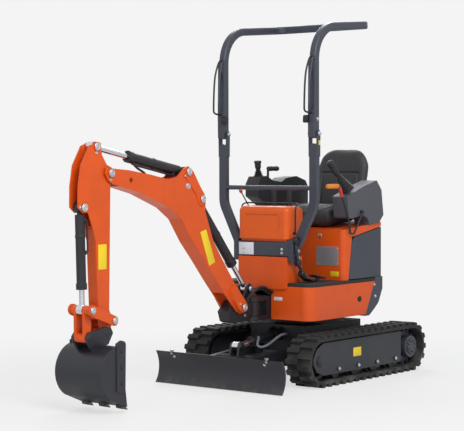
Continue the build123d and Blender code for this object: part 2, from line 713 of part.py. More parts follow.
left_base = (pod_foot[0] + 236, console_inner_y + 60, pod_foot[1] + 216)
left_top = (left_base[0] + 132, left_base[1] - 55, left_base[2] + 186)
right_base = (box_foot[0] + 372, -console_inner_y - 48, box_foot[1] + 296)
right_top = (right_base[0] + 10, right_base[1], right_base[2] + 112)
sticks = stick(left_base, left_top, 36) - nodes["console_left"]
sticks += stick(right_base, right_top, 32) - nodes["console_right"]
lever_base = (box_foot[0] + 265, -console_inner_y - 50, box_foot[1] + 270)
dozer_lever = bent_bar(
    [lever_base, (lever_base[0], lever_base[1], lever_base[2] + 75),
     (lever_base[0] - 105, lever_base[1], lever_base[2] + 82)], [20], stick_radius)
nodes["joysticks"] = sticks + (dozer_lever - nodes["console_right"])
lever_x = pedestal_back - 44
lever = post(lever_x, 60, cover_low, cowl_high + 12, stick_radius)
lever += post(lever_x, 60, cowl_high - 10, cowl_high + 108, grip_radius - 4)
nodes["travel_levers"] = both_sides(lever)
lock_y = console_outer_y + 10
lock_path = by(
    pod_foot, (560, 243), (424, 242), (398, 180), (322, 37), (297, -64), (255, -66), (158, 70))
lock_points = [(x, lock_y, z) for x, z in lock_path]
lock = bent_bar(lock_points, [20, 12, 30, 12, 14], 6)
lock += bent_bar(lock_points[:2], [], 12)
nodes["lock_lever"] = lock + cross_pin(lock_path[-1], console_outer_y + seat_gap, lock_y + 8, 12)
pedal_y = pedestal_half + 28
pedal = block(pedestal_back - 120, pedestal_back - 20, pedal_y, pedal_y + 80, cover_low, cover_low + 36)
nodes["pedals"] = both_sides(pedal)

# Swing bracket
hub_low = post_low + post_plate + side_clear
hub_high = post_high - post_plate - side_clear
bracket = post(swing_x, 0, hub_low, hub_high, hub_radius)
tongue = [(swing_x, hub_high - 4), (swing_x, hub_low + 4)]
tongue += by(boom_pin, (-112, -64), (-98, -93), (69, -95), (96, -82), (117, -22), (42, 43), (-88, 48))
tongue += by(boom_pin, (-112, 17))
bracket += side_plate(tongue, -bracket_half, bracket_half)
bracket -= post(swing_x, 0, post_low, post_high, swing_pin + pin_clear)
low_ear = side_plate(
    by(boom_rod_pin, (14, -72), (10, -50), (-22, -36), (-29, 18), (0, 36), (34, 20), (71, -67)),
    ear_inner, bracket_half - 2)
bracket += both_sides(low_ear + cross_pin(boom_rod_pin, ear_inner, bracket_half + 6, pin_radius))
nodes["swing_bracket"] = bracket + centre_pin(boom_pin, boom_half + foot_flare + 8, pin_radius)

# Boom
boom_tip = by(arm_pin, (36, 30), (46, 0), (20, -40), (-17, -61), (-277, -122))
boom_belly = by(arm_barrel_pin, (172, -210), (62, -281))
boom_belly += by(boom_barrel_pin, (84, -257), (-24, -371), (-136, -496))
boom_foot = by(boom_pin, (131, 64), (51, -19), (12, -42), (-23, -35), (-42, -7), (-40, 25), (-19, 55))
boom_foot += by(boom_pin, (132, 240))
boom_front = by(boom_barrel_pin, (-113, -265), (-33, -76), (-36, 4), (-18, 36), (15, 74))
boom_crest = by(arm_barrel_pin, (-47, 4), (0, 34), (41, 19), (103, -29), (189, -42))
boom_top = by(arm_pin, (-342, -11), (-150, 16))
boom_side = boom_tip + boom_belly + boom_foot + boom_front + boom_crest + boom_top
boom = side_plate(boom_side, boom_half - plate_thick, boom_half)
flare = by(boom_pin, (100, 50), (50, -12), (12, -38), (-21, -32), (-38, -6), (-36, 23), (-12, 52))
flare += by(boom_pin, (70, 140), (118, 110))
flare_edge = Polyline(*[(x, boom_half, z) for x, z in flare], close=True)
boom += extrude(make_face(flare_edge), amount=foot_flare, dir=(0, 1, 0), taper=12)
crest = by(boom_barrel_pin, (-2, -44), (-31, -14), (-32, 4), (-15, 34), (18, 72))
crest += by(arm_barrel_pin, (-44, 0), (0, 30), (34, 17), (26, -34)) + by(boom_barrel_pin, (52, 20), (30, -34))
boom += side_plate(crest, boom_half, boom_half + crest_plate)
boom = both_sides(boom)
inside = boom_half - plate_thick
belly_web = by(arm_pin, (-76, -75), (-277, -122)) + boom_belly + by(boom_pin, (162, 97))
boom += strip(belly_web, (-7, 8), inside)
top_web = by(boom_pin, (152, 143), (197, 195)) + by(boom_barrel_pin, (-48, -310), (47, -136), (142, -6))
top_web += by(arm_barrel_pin, (123, -76), (189, -43)) + by(arm_pin, (-342, -12), (-116, 19))
boom += strip(top_web, (7, -8), inside)
boom += centre_pin(lift_eye, boom_half, lift_radius + 10)
boom -= centre_pin(lift_eye, boom_half + 1, lift_radius)
boom -= centre_pin(boom_pin, far, pin_radius + pin_clear)
boom += centre_pin(arm_pin, boom_half + 10, pin_radius)
for pin in (boom_barrel_pin, arm_barrel_pin):
    boom += centre_pin(pin, boom_half + crest_plate + 6, pin_radius)
nodes["boom"] = boom
nodes["boom_barrel"] = barrel(boom_cylinder, boom_barrel_pin, boom_rod_pin)
nodes["boom_rod"] = piston_rod(boom_cylinder, boom_barrel_pin, boom_rod_pin)

# Arm
arm_head = by(arm_rod_pin, (-33, 22), (-8, 28), (60, 4))
arm_back = by(bucket_barrel_pin, (23, 232), (44, 117), (46, 1), (6, -31), (-33, -28), (-72, -118))
arm_back += by(bucket_barrel_pin, (-93, -190))
arm_foot = by(guide_pin, (92, 140), (87, 31)) + by(bucket_pin, (39, 1), (19, -35), (-15, -37), (-37, -14))
arm_front = by(guide_pin, (-29, 1), (-3, 61), (-8, 341))
arm_front += by(arm_pin, (-14, -75), (-40, -8), (-28, 30), (14, 47)) + by(arm_rod_pin, (-43, -46))
arm_side = arm_head + arm_back + arm_foot + arm_front
arm = both_sides(side_plate(arm_side, arm_half - plate_thick, arm_half))
beam = arm_half - plate_thick
back_web = by(bucket_barrel_pin, (-72, -118), (-93, -190)) + by(guide_pin, (92, 140), (85, 11))
arm += strip(back_web, (-8, 0), beam)
front_web = by(arm_pin, (-12, -158)) + by(guide_pin, (-8, 341), (-3, 61))
arm += strip(front_web, (8, 0), beam)
cross_web = by(arm_pin, (-12, -148), (-12, -168)) + by(bucket_barrel_pin, (-78, -119), (-68, -109))
arm += side_plate(cross_web, -beam, beam)
arm += centre_pin(arm_pin, arm_half, 34)
arm += centre_pin(bucket_pin, bucket_ear_inner - side_clear, 36)
arm += centre_pin(guide_pin, guide_inner - side_clear, 26)
for pin in (arm_pin, bucket_pin):
    arm -= centre_pin(pin, far, pin_radius + pin_clear)
arm += centre_pin(guide_pin, guide_outer + 4, guide_pin_radius)
arm += centre_pin(bucket_barrel_pin, arm_half + 8, pin_radius)
arm += both_sides(cross_pin(arm_rod_pin, beam, arm_half + 8, pin_radius))
nodes["arm"] = arm
nodes["arm_barrel"] = barrel(arm_cylinder, arm_barrel_pin, arm_rod_pin)
nodes["arm_rod"] = piston_rod(arm_cylinder, arm_barrel_pin, arm_rod_pin)


# Bucket linkage

def link_plate(first, second, radius_first, radius_second, y0, y1):
    angle = atan2(second[1] - first[1], second[0] - first[0])
    across = (-sin(angle), cos(angle))
    points = []
    corners = [(first, radius_first), (second, radius_second)]
    corners += [(second, -radius_second), (first, -radius_first)]
    for pin, reach in corners:
        points += by(pin, (reach * across[0], reach * across[1]))
    ends = cross_pin(first, y0, y1, radius_first) + cross_pin(second, y0, y1, radius_second)
    return side_plate(points, y0, y1) + ends


guide = link_plate(guide_pin, bucket_rod_pin, link_round + 1, link_round + 5, guide_inner, guide_outer)
guide -= cross_pin(guide_pin, 0, far, guide_pin_radius + pin_clear)
guide += cross_pin(bucket_rod_pin, ear_inner + 1, guide_outer + 4, pin_radius - 2)
nodes["guide_links"] = both_sides(guide)

link = link_plate(bucket_rod_pin, link_pin, link_round, link_round, ear_inner, link_half)
link += cross_pin(bucket_rod_pin, ear_inner, guide_inner - side_clear, link_round)
link = both_sides(link) + centre_pin(link_pin, link_half, link_round)
nodes["bucket_link"] = link - centre_pin(bucket_rod_pin, far, pin_radius - 2 + pin_clear)
nodes["bucket_barrel"] = barrel(bucket_cylinder, bucket_barrel_pin, bucket_rod_pin)
nodes["bucket_rod"] = piston_rod(bucket_cylinder, bucket_barrel_pin, bucket_rod_pin)


# Bucket

def bucket_form(inset, mouth, half):
    top, start, belly, end, lip = [(x, 0, z) for x, z in by(
        bucket_pin, (17 - mouth, -63 - inset), (63, -59 - inset), (184 - inset, -187), (107, -349 + inset),
        (-29 - mouth, -405 + inset - mouth * 0.35))]
    edges = [Line(top, start), ThreePointArc(start, belly, end), Line(end, lip), Line(lip, top)]
    return extrude(make_face(Wire(edges)), amount=half, both=True)


bucket = bucket_form(0, 0, bucket_half) - bucket_form(bucket_shell, 30, bucket_half - bucket_shell)
cutter = side_plate(
    by(bucket_pin, (-8, -329), (-13, -50), (-4, -36), (24, -28), (61, -44), (61, -311)),
    bucket_half - bucket_shell, bucket_half + cutter_thick)
bucket += both_sides(cutter)
ear_outline = by(bucket_pin, (-3, -59), (-41, 1), (-23, 33), (17, 39))
ear_outline += by(link_pin, (7, 31), (30, 5), (24, -21), (-28, -85))
ear = side_plate(ear_outline, bucket_ear_inner, bucket_ear_outer)
ear -= bucket_form(1, 30, bucket_half)
bucket += both_sides(ear + cross_pin(link_pin, bucket_ear_inner, bucket_ear_outer + 2, pin_radius))
nodes["bucket"] = bucket + centre_pin(bucket_pin, bucket_ear_outer + 2, pin_radius)
tooth = side_plate(
    by(bucket_pin, (-3, -395), (-11, -415), (-58, -427), (-53, -417), (-27, -395)), -tooth_half, tooth_half)
tooth -= bucket_form(-seat_gap, seat_gap, bucket_half + 1)
nodes["bucket_teeth"] = tooth + Pos(0, tooth_pitch, 0) * tooth + Pos(0, -tooth_pitch, 0) * tooth

os.makedirs("parts", exist_ok=True)
for name, part in nodes.items():
    export_step(Pos(slew_x, 0, 0) * part, "parts/" + name + ".step")
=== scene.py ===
import json
import math

import bmesh
import bpy
from mathutils import Matrix, Vector
from mathutils.bvhtree import BVHTree


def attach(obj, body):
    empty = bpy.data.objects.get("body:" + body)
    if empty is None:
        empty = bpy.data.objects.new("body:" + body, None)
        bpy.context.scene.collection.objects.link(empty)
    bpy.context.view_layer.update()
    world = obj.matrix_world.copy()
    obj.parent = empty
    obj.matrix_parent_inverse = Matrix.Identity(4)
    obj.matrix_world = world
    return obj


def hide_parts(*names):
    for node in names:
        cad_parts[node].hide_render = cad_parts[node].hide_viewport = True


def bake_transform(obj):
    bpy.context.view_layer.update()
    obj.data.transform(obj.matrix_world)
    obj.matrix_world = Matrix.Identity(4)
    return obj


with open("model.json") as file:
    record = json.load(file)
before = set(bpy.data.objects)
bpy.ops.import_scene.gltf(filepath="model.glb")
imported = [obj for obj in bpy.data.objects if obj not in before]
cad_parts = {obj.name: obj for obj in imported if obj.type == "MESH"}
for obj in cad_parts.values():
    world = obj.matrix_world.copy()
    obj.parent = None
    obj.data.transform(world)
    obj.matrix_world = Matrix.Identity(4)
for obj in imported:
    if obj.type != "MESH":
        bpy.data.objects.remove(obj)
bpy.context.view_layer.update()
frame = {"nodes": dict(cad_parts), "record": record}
scene = bpy.context.scene
scene.view_settings.view_transform = "Standard"
slewX = -770.0  # where the slew axis stands along the frame, in millimetres
print("stage: frame loaded")


def at(x, y, z):
    return Vector(((x + slewX) / 1000, y / 1000, z / 1000))


def allAt(points):
    return [at(*point) for point in points]


def linear(code):
    parts = [int(code[i:i + 2], 16) / 255 for i in (1, 3, 5)]
    return tuple(p / 12.92 if p <= 0.04045 else ((p + 0.055) / 1.055) ** 2.4 for p in parts) + (1.0,)


# Shader node groups: each gives a mask, a value or a normal.

def newGroup(name, inputs, outputs):
    group = bpy.data.node_groups.new(name, "ShaderNodeTree")
    for label, kind, default in inputs:
        socket = group.interface.new_socket(label, in_out="INPUT", socket_type=kind)
        if default is not None:
            socket.default_value = default
    for label, kind in outputs:
        group.interface.new_socket(label, in_out="OUTPUT", socket_type=kind)
    return group, group.nodes.new("NodeGroupInput"), group.nodes.new("NodeGroupOutput")


def mathNode(tree, operation, first, second, clamp=False):
    node = tree.nodes.new("ShaderNodeMath")
    node.operation = operation
    node.use_clamp = clamp
    for socket, value in zip(node.inputs, (first, second)):
        if isinstance(value, (int, float)):
            socket.default_value = value
        else:
            tree.links.new(value, socket)
    return node.outputs[0]


def ramp(tree, value, low, high, toLow=0.0, toHigh=1.0):
    node = tree.nodes.new("ShaderNodeMapRange")
    node.interpolation_type = "SMOOTHSTEP"
    tree.links.new(value, node.inputs["Value"])
    for label, number in (("From Min", low), ("From Max", high), ("To Min", toLow), ("To Max", toHigh)):
        node.inputs[label].default_value = number
    return node.outputs["Result"]


def noiseNode(tree, scale, detail):
    place = tree.nodes.new("ShaderNodeTexCoord")
    noise = tree.nodes.new("ShaderNodeTexNoise")
    noise.inputs["Detail"].default_value = detail
    if isinstance(scale, (int, float)):
        noise.inputs["Scale"].default_value = scale
    else:
        tree.links.new(scale, noise.inputs["Scale"])
    tree.links.new(place.outputs["Object"], noise.inputs["Vector"])
    return noise.outputs["Fac"]


def edgeGroup():
    group, given, result = newGroup(
        "edgeWear", [("Radius", "NodeSocketFloat", 0.004), ("Amount", "NodeSocketFloat", 0.6)],
        [("Mask", "NodeSocketFloat"), ("Normal", "NodeSocketVector")])
    bevel = group.nodes.new("ShaderNodeBevel")
    bevel.samples = 6
    group.links.new(given.outputs["Radius"], bevel.inputs["Radius"])
    geometry = group.nodes.new("ShaderNodeNewGeometry")
    dot = group.nodes.new("ShaderNodeVectorMath")
    dot.operation = "DOT_PRODUCT"
    group.links.new(bevel.outputs["Normal"], dot.inputs[0])
    group.links.new(geometry.outputs["Normal"], dot.inputs[1])
    edge = ramp(group, dot.outputs["Value"], 0.995, 0.86)
    patches = ramp(group, noiseNode(group, 38.0, 5.0), 0.46, 0.62)
    worn = mathNode(group, "MULTIPLY", edge, patches)
    group.links.new(mathNode(group, "MULTIPLY", worn, given.outputs["Amount"], True), result.inputs["Mask"])
    group.links.new(bevel.outputs["Normal"], result.inputs["Normal"])
    return group


def grainGroup():
    group, given, result = newGroup(
        "surfaceGrain", [("Scale", "NodeSocketFloat", 200.0), ("Strength", "NodeSocketFloat", 0.1),
                         ("Normal", "NodeSocketVector", None)],
        [("Normal", "NodeSocketVector"), ("Value", "NodeSocketFloat")])
    fine = noiseNode(group, given.outputs["Scale"], 3.0)
    bump = group.nodes.new("ShaderNodeBump")
    bump.inputs["Distance"].default_value = 0.002
    group.links.new(given.outputs["Strength"], bump.inputs["Strength"])
    group.links.new(fine, bump.inputs["Height"])
    group.links.new(given.outputs["Normal"], bump.inputs["Normal"])
    group.links.new(bump.outputs["Normal"], result.inputs["Normal"])
    group.links.new(noiseNode(group, 7.0, 4.0), result.inputs["Value"])
    return group


def dustGroup():
    group, given, result = newGroup(
        "groundDust", [("Height", "NodeSocketFloat", 0.3), ("Amount", "NodeSocketFloat", 0.3)],
        [("Mask", "NodeSocketFloat")])
    place = group.nodes.new("ShaderNodeTexCoord")
    split = group.nodes.new("ShaderNodeSeparateXYZ")
    group.links.new(place.outputs["Object"], split.inputs[0])
    share = mathNode(group, "DIVIDE", split.outputs["Z"], given.outputs["Height"])
    low = ramp(group, share, 1.0, 0.0)
    cloud = ramp(group, noiseNode(group, 16.0, 6.0), 0.38, 0.72)
    both = mathNode(group, "MULTIPLY", low, cloud)
    group.links.new(mathNode(group, "MULTIPLY", both, given.outputs["Amount"], True), result.inputs["Mask"])
    return group


edgeWear = edgeGroup()
surfaceGrain = grainGroup()
groundDust = dustGroup()


def useGroup(tree, group, **values):
    node = tree.nodes.new("ShaderNodeGroup")
    node.node_tree = group
    for label, value in values.items():
        if isinstance(value, (int, float)):
            node.inputs[label].default_value = value
        else:
            tree.links.new(value, node.inputs[label])
    return node


def mixColour(tree, factor, first, second):
    node = tree.nodes.new("ShaderNodeMix")
    node.data_type = "RGBA"
    tree.links.new(factor, node.inputs["Factor"])
    for socket, value in ((node.inputs["A"], first), (node.inputs["B"], second)):
        if isinstance(value, tuple):
            socket.default_value = value
        else:
            tree.links.new(value, socket)
    return node.outputs["Result"]


def finish(name, look):
    material = bpy.data.materials.new(name)
    material.use_nodes = True
    tree = material.node_tree
    shader = tree.nodes["Principled BSDF"]
    for label, value in look.get("shader", {}).items():
        shader.inputs[label].default_value = value
    edge = useGroup(tree, edgeWear, Radius=look.get("round", 0.003), Amount=look.get("wear", 0.0))
    grain = useGroup(tree, surfaceGrain, Scale=look["grain"][0], Strength=look["grain"][1],
                     Normal=edge.outputs["Normal"])
    base = linear(look["colour"])
    deep = tuple(c * look.get("mottle", 0.82) for c in base[:3]) + (1.0,)
    colour = mixColour(tree, ramp(tree, grain.outputs["Value"], 0.62, 0.32), base, deep)
    if look.get("wear"):
        colour = mixColour(tree, edge.outputs["Mask"], colour, linear(look["worn"]))
    if look.get("dust"):
        dust = useGroup(tree, groundDust, Height=look["dust"][0], Amount=look["dust"][1])
        colour = mixColour(tree, dust.outputs["Mask"], colour, linear("#8A8378"))
    tree.links.new(colour, shader.inputs["Base Color"])
    low, high = look["rough"]
    tree.links.new(ramp(tree, grain.outputs["Value"], 0.3, 0.7, low, high), shader.inputs["Roughness"])
    tree.links.new(grain.outputs["Normal"], shader.inputs["Normal"])
    return material


orangePaint = finish("orangePaint", {
    "colour": "#DC5412", "worn": "#8A3A1C", "wear": 0.2, "round": 0.004, "mottle": 0.93, "grain": (420.0, 0.035),
    "rough": (0.34, 0.46), "shader": {"Coat Weight": 0.1, "Coat Roughness": 0.12, "Specular IOR Level": 0.35}})
orangePlastic = finish("orangePlastic", {
    "colour": "#E05C16", "round": 0.006, "mottle": 0.95, "grain": (600.0, 0.03), "rough": (0.32, 0.42),
    "shader": {"Coat Weight": 0.1, "Coat Roughness": 0.15, "Specular IOR Level": 0.35}})
darkGreyPaint = finish("darkGreyPaint", {
    "colour": "#393C48", "worn": "#5E616B", "wear": 0.2, "round": 0.004, "mottle": 0.85, "grain": (500.0, 0.05),
    "rough": (0.38, 0.52), "shader": {"Coat Weight": 0.1}})
blackSteel = finish("blackSteel", {
    "colour": "#17181E", "worn": "#505157", "wear": 0.3, "round": 0.003, "mottle": 0.88, "grain": (300.0, 0.08),
    "rough": (0.4, 0.55), "dust": (0.12, 0.2)})
trackRubber = finish("trackRubber", {
    "colour": "#222224", "worn": "#45423F", "wear": 0.45, "round": 0.004, "mottle": 0.7, "grain": (240.0, 0.22),
    "rough": (0.7, 0.9), "dust": (0.3, 0.3)})
floorMat = finish("floorMat", {
    "colour": "#262627", "round": 0.002, "mottle": 0.8, "grain": (160.0, 0.3), "rough": (0.75, 0.92)})
engineIron = finish("engineIron", {
    "colour": "#4A4A4C", "worn": "#77777A", "wear": 0.4, "grain": (90.0, 0.35), "rough": (0.6, 0.8)})
seatVinyl = finish("seatVinyl", {
    "colour": "#2B2B2E", "round": 0.001, "mottle": 0.8, "grain": (380.0, 0.28), "rough": (0.5, 0.66),
    "shader": {"Sheen Weight": 0.08}})
greyPlastic = finish("greyPlastic", {
    "colour": "#4E4F57", "round": 0.006, "mottle": 0.9, "grain": (700.0, 0.14), "rough": (0.5, 0.64)})
blackPlastic = finish("blackPlastic", {
    "colour": "#1E1F22", "round": 0.004, "mottle": 0.85, "grain": (700.0, 0.14), "rough": (0.45, 0.62)})
chromeRod = finish("chromeRod", {
    "colour": "#D8DADF", "round": 0.001, "mottle": 0.92, "grain": (900.0, 0.02), "rough": (0.08, 0.16),
    "shader": {"Metallic": 1.0}})
bucketPaint = finish("bucketPaint", {
    "colour": "#202229", "worn": "#5C5C5E", "wear": 0.35, "round": 0.003, "mottle": 0.88, "grain": (260.0, 0.1),
    "rough": (0.34, 0.48), "dust": (0.08, 0.15)})
wornSteel = finish("wornSteel", {
    "colour": "#6A6A6C", "worn": "#9A9A9C", "wear": 0.6, "round": 0.003, "mottle": 0.6, "grain": (180.0, 0.15),
    "rough": (0.35, 0.6), "shader": {"Metallic": 0.8}})
zincBolt = finish("zincBolt", {
    "colour": "#C9CACD", "round": 0.001, "mottle": 0.8, "grain": (600.0, 0.06), "rough": (0.25, 0.4),
    "shader": {"Metallic": 0.9}})
yellowFilm = finish("yellowFilm", {
    "colour": "#EFD01E", "round": 0.0005, "mottle": 0.93, "grain": (800.0, 0.02), "rough": (0.35, 0.5)})
paleFilm = finish("paleFilm", {
    "colour": "#E2E4EA", "round": 0.0005, "mottle": 0.95, "grain": (800.0, 0.02), "rough": (0.3, 0.45)})
silverPlate = finish("silverPlate", {
    "colour": "#B6B9C0", "worn": "#8C8F95", "wear": 0.3, "round": 0.001, "mottle": 0.85, "grain": (500.0, 0.06),
    "rough": (0.3, 0.45), "shader": {"Metallic": 0.6}})
orangeGrip = finish("orangeGrip", {
    "colour": "#E0852A", "round": 0.001, "mottle": 0.9, "grain": (500.0, 0.12), "rough": (0.5, 0.65)})
redGrip = finish("redGrip", {
    "colour": "#C2392B", "round": 0.001, "mottle": 0.9, "grain": (500.0, 0.12), "rough": (0.45, 0.6)})
greyHose = finish("greyHose", {
    "colour": "#6E747E", "round": 0.0005, "mottle": 0.85, "grain": (900.0, 0.15), "rough": (0.45, 0.6)})
hoseRubber = finish("hoseRubber", {
    "colour": "#1B1B1D", "round": 0.0005, "mottle": 0.8, "grain": (900.0, 0.2), "rough": (0.55, 0.75)})
print("stage: materials")

slotMaterial = {
    "orange_paint": orangePaint, "orange_plastic": orangePlastic, "dark_grey_paint": darkGreyPaint,
    "black_steel": blackSteel, "track_rubber": trackRubber, "floor_mat": floorMat, "engine_iron": engineIron,
    "seat_vinyl": seatVinyl, "grey_plastic": greyPlastic, "black_plastic": blackPlastic, "chrome_rod": chromeRod,
    "bucket_paint": bucketPaint, "worn_steel": wornSteel}
slotOf = {part["node"]: part["material_slot"] for part in frame["record"]["subparts"]}
for node, solid in frame["nodes"].items():
    solid.data.materials.clear()
    # the track frames are as dark as the bucket, though their slot is the roll bar's
    solid.data.materials.append(bucketPaint if node == "track_frames" else slotMaterial[slotOf[node]])
print("stage: CAD finishes")

# Mesh helpers. Sizes are millimetres, and places run from the slew axis at ground level.

def addPiece(name, form, body, materials, crease=35.0):
    mesh = bpy.data.meshes.new(name)
    bmesh.ops.recalc_face_normals(form, faces=form.faces)
    form.to_mesh(mesh)
    form.free()
    for material in materials:
        mesh.materials.append(material)
    mesh.shade_smooth()
    mesh.set_sharp_from_angle(angle=math.radians(crease))
    piece = bpy.data.objects.new(name, mesh)
    scene.collection.objects.link(piece)
    if body:
        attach(piece, body)
    return piece


# The profile is pairs of distance along the axis and radius; a hollow one closes on itself, as a ring.
def lathe(form, start, toward, profile, sides=24, material=0, hollow=False):
    axis = (toward - start).normalized()
    across = axis.orthogonal().normalized()
    other = axis.cross(across)
    rings = []
    for distance, radius in profile:
        centre = start + axis * distance / 1000
        ring = []
        for i in range(sides if radius else 1):
            turn = 2 * math.pi * i / sides
            spoke = across * math.cos(turn) + other * math.sin(turn)
            ring.append(form.verts.new(centre + spoke * radius / 1000))
        rings.append(ring)
    for low, high in zip(rings, rings[1:] + rings[:1] if hollow else rings[1:]):
        for i in range(sides):
            j = (i + 1) % sides
            corners = [low[i % len(low)], low[j % len(low)], high[j % len(high)], high[i % len(high)]]
            form.faces.new(list(dict.fromkeys(corners))).material_index = material
    for ring in (rings[0], rings[-1]):
        if len(ring) > 1 and not hollow:
            form.faces.new(ring).material_index = material


# Washer and head as shares of the bolt's radius: distance along the axis, then radius.
boltShape = {"sunk": 1.0, "washerSides": 20, "washer": [(0.24, 1.5), (0.3, 1.36), (0.3, 0.6)],
             "head": [(0.2, 1.0), (0.85, 1.0), (1.05, 0.84), (1.05, 0.0)]}
# A pin's end cap: distance along the axis, then how far it reaches past the pin's radius.
capShape = {"sides": 28, "rim": [(-2.0, 6.0), (2.0, 6.0), (3.5, 4.5), (3.5, -1.0), (6.0, -2.0), (7.0, -5.0),
                                 (5.6, -7.0)]}


def hexBolt(form, place, outward, radius, material=0):
    washer = [(-boltShape["sunk"], radius * boltShape["washer"][0][1])]
    washer += [(radius * rise, radius * wide) for rise, wide in boltShape["washer"]]
    head = [(radius * rise, radius * wide) for rise, wide in boltShape["head"]]
    lathe(form, place, place + outward, washer, boltShape["washerSides"], material)
    lathe(form, place, place + outward, head, 6, material)


def pinCap(form, place, outward, radius, material=0):
    profile = [(rise, radius + beyond) for rise, beyond in capShape["rim"]]
    profile.append((profile[-1][0], 0.0))
    lathe(form, place, place + outward, profile, capShape["sides"], material)


def tube(form, points, radius, material=0, order=3):
    curve = bpy.data.curves.new("route", "CURVE")
    curve.dimensions = "3D"
    curve.bevel_depth = radius / 1000
    curve.bevel_resolution = 4
    curve.use_fill_caps = True
    spline = curve.splines.new("NURBS")
    spline.points.add(len(points) - 1)
    for target, point in zip(spline.points, points):
        target.co = (*point, 1.0)
    spline.use_endpoint_u = True
    spline.order_u = min(order, len(points))
    spline.resolution_u = 8 if order > 2 else 1
    holder = bpy.data.objects.new("route", curve)
    mesh = bpy.data.meshes.new_from_object(holder)
    for polygon in mesh.polygons:
        polygon.material_index = material
    form.from_mesh(mesh)
    bpy.data.objects.remove(holder)
    bpy.data.curves.remove(curve)
    bpy.data.meshes.remove(mesh)


def plate(form, corners, thick, rounding, material=0):
    normal = (corners[1] - corners[0]).cross(corners[3] - corners[0]).normalized()
    middle = sum(corners, Vector()) / 4
    outline = []
    for i, corner in enumerate(corners):
        back = (corners[i - 1] - corner).normalized() * rounding / 1000
        ahead = (corners[(i + 1) % 4] - corner).normalized() * rounding / 1000
        for step in range(5):
            share = step / 4 * math.pi / 2
            outline.append(corner + back * (1 - math.sin(share)) + ahead * (1 - math.cos(share)))
    rings = []
    for height, inset in ((-1.0, 0.0), (thick * 0.7, 0.0), (thick, 0.4)):
        ring = []
        for point in outline:
            inward = (middle - point).normalized() * inset / 1000
            ring.append(form.verts.new(point + inward + normal * height / 1000))
        rings.append(ring)
    for low, high in zip(rings, rings[1:]):
        for i in range(len(low)):
            j = (i + 1) % len(low)
            form.faces.new((low[i], low[j], high[j], high[i])).material_index = material
    for ring in (rings[0], rings[-1]):
        form.faces.new(ring).material_index = material


def loft(form, rings):
    loops = [[form.verts.new(point) for point in ring] for ring in rings]
    for low, high in zip(loops, loops[1:]):
        for i in range(len(low)):
            j = (i + 1) % len(low)
            form.faces.new((low[i], low[j], high[j], high[i]))
    form.faces.new(loops[0])
    form.faces.new(loops[-1])


def between(value, points):
    for (x0, y0), (x1, y1) in zip(points, points[1:]):
        if value <= x1:
            return y0 + (y1 - y0) * max(0.0, (value - x0) / (x1 - x0))
    return points[-1][1]


left = Vector((0, 1, 0))
forward = Vector((1, 0, 0))
upward = Vector((0, 0, 1))

# Seat: two padded pieces in vinyl, swollen by a cloth simulation, with sewn channels pressed in afterwards.
cushionShape = {"back": -318.0, "front": 58.0, "half": 214.0, "low": [(-330, 1001), (70, 966)], "clear": 8.0,
                "top": 1112.0, "noseStart": 0.72, "noseDrop": 26.0, "bolster": 12.0, "squareness": 4.5,
                "endHeight": 0.72, "endRun": 7.0, "endWidth": 0.94, "rings": 24, "seamInset": 74.0, "seamLow": 1060.0}
backShape = {"low": 1008.0, "top": 1492.0, "half": 208.0, "corner": 150.0, "hollow": 20.0, "squareness": 4.0,
             "front": [(1000, -338), (1112, -340), (1470, -408), (1490, -430)],
             "rear": [(1000, -394), (1112, -404), (1470, -474), (1490, -466)],
             "endDepth": 0.6, "endRun": 9.0, "rings": 32, "seamInset": 62.0, "seamHeight": 1322.0}
padding = {"voxel": 0.011, "pressure": 4.0, "most": 0.009, "frames": 10, "smooth": 4, "ringPoints": 56,
           "seamDepth": 7.0, "seamWidth": 6.0, "lift": 0.6}
pipingShape = {"steps": 48, "backInset": 30.0, "frontInset": 12.0, "sideInset": 14.0, "bend": 0.4, "height": 1100.0,
               "radius": 2.6}
noSeam = 1000.0  # a distance at which a seam presses nothing in


def ringOf(count, squareness):
    for i in range(count):
        turn = 2 * math.pi * i / count
        c, s = math.cos(turn), math.sin(turn)
        yield math.copysign(abs(c) ** (2 / squareness), c), math.copysign(abs(s) ** (2 / squareness), s)


def endTaper(share, least, run):
    near = min(1.0, min(share, 1 - share) * run)
    return least + (1 - least) * math.sin(math.pi * near / 2)


def cushionForm(shape):
    rings = []
    for step in range(shape["rings"] + 1):
        share = step / shape["rings"]
        x = shape["back"] + (shape["front"] - shape["back"]) * share
        ends = endTaper(share, shape["endHeight"], shape["endRun"])
        low = between(x, shape["low"]) + shape["clear"]
        nose = max(0.0, (share - shape["noseStart"]) / (1 - shape["noseStart"]))
        top = shape["top"] - shape["noseDrop"] * nose ** 2
        ring = []
        for c, s in ringOf(padding["ringPoints"], shape["squareness"]):
            y = shape["half"] * (shape["endWidth"] + (1 - shape["endWidth"]) * ends) * c
            lift = shape["bolster"] * (abs(c) ** 3 - 0.5) if s > 0 else 0.0
            ring.append(at(x, y, (low + top) / 2 + (top - low) / 2 * ends * s + lift))
        rings.append(ring)
    form = bmesh.new()
    loft(form, rings)
    return form


def backForm(shape):
    rings = []
    for step in range(shape["rings"] + 1):
        share = step / shape["rings"]
        z = shape["low"] + (shape["top"] - shape["low"]) * math.sin(share * math.pi / 2)
        over = max(0.0, z - (shape["top"] - shape["corner"]))
        half = shape["half"] - shape["corner"] + math.sqrt(max(0.0, shape["corner"] ** 2 - over ** 2))
        ends = endTaper(share, shape["endDepth"], shape["endRun"])
        front, rear = between(z, shape["front"]), between(z, shape["rear"])
        ring = []
        for c, s in ringOf(padding["ringPoints"], shape["squareness"]):
            hollow = shape["hollow"] * (1 - abs(c) ** 2.5) if s > 0 else 0.0
            ring.append(at((front + rear) / 2 + (front - rear) / 2 * ends * s - hollow, half * c, z))
        rings.append(ring)
    form = bmesh.new()
    loft(form, rings)
    return form


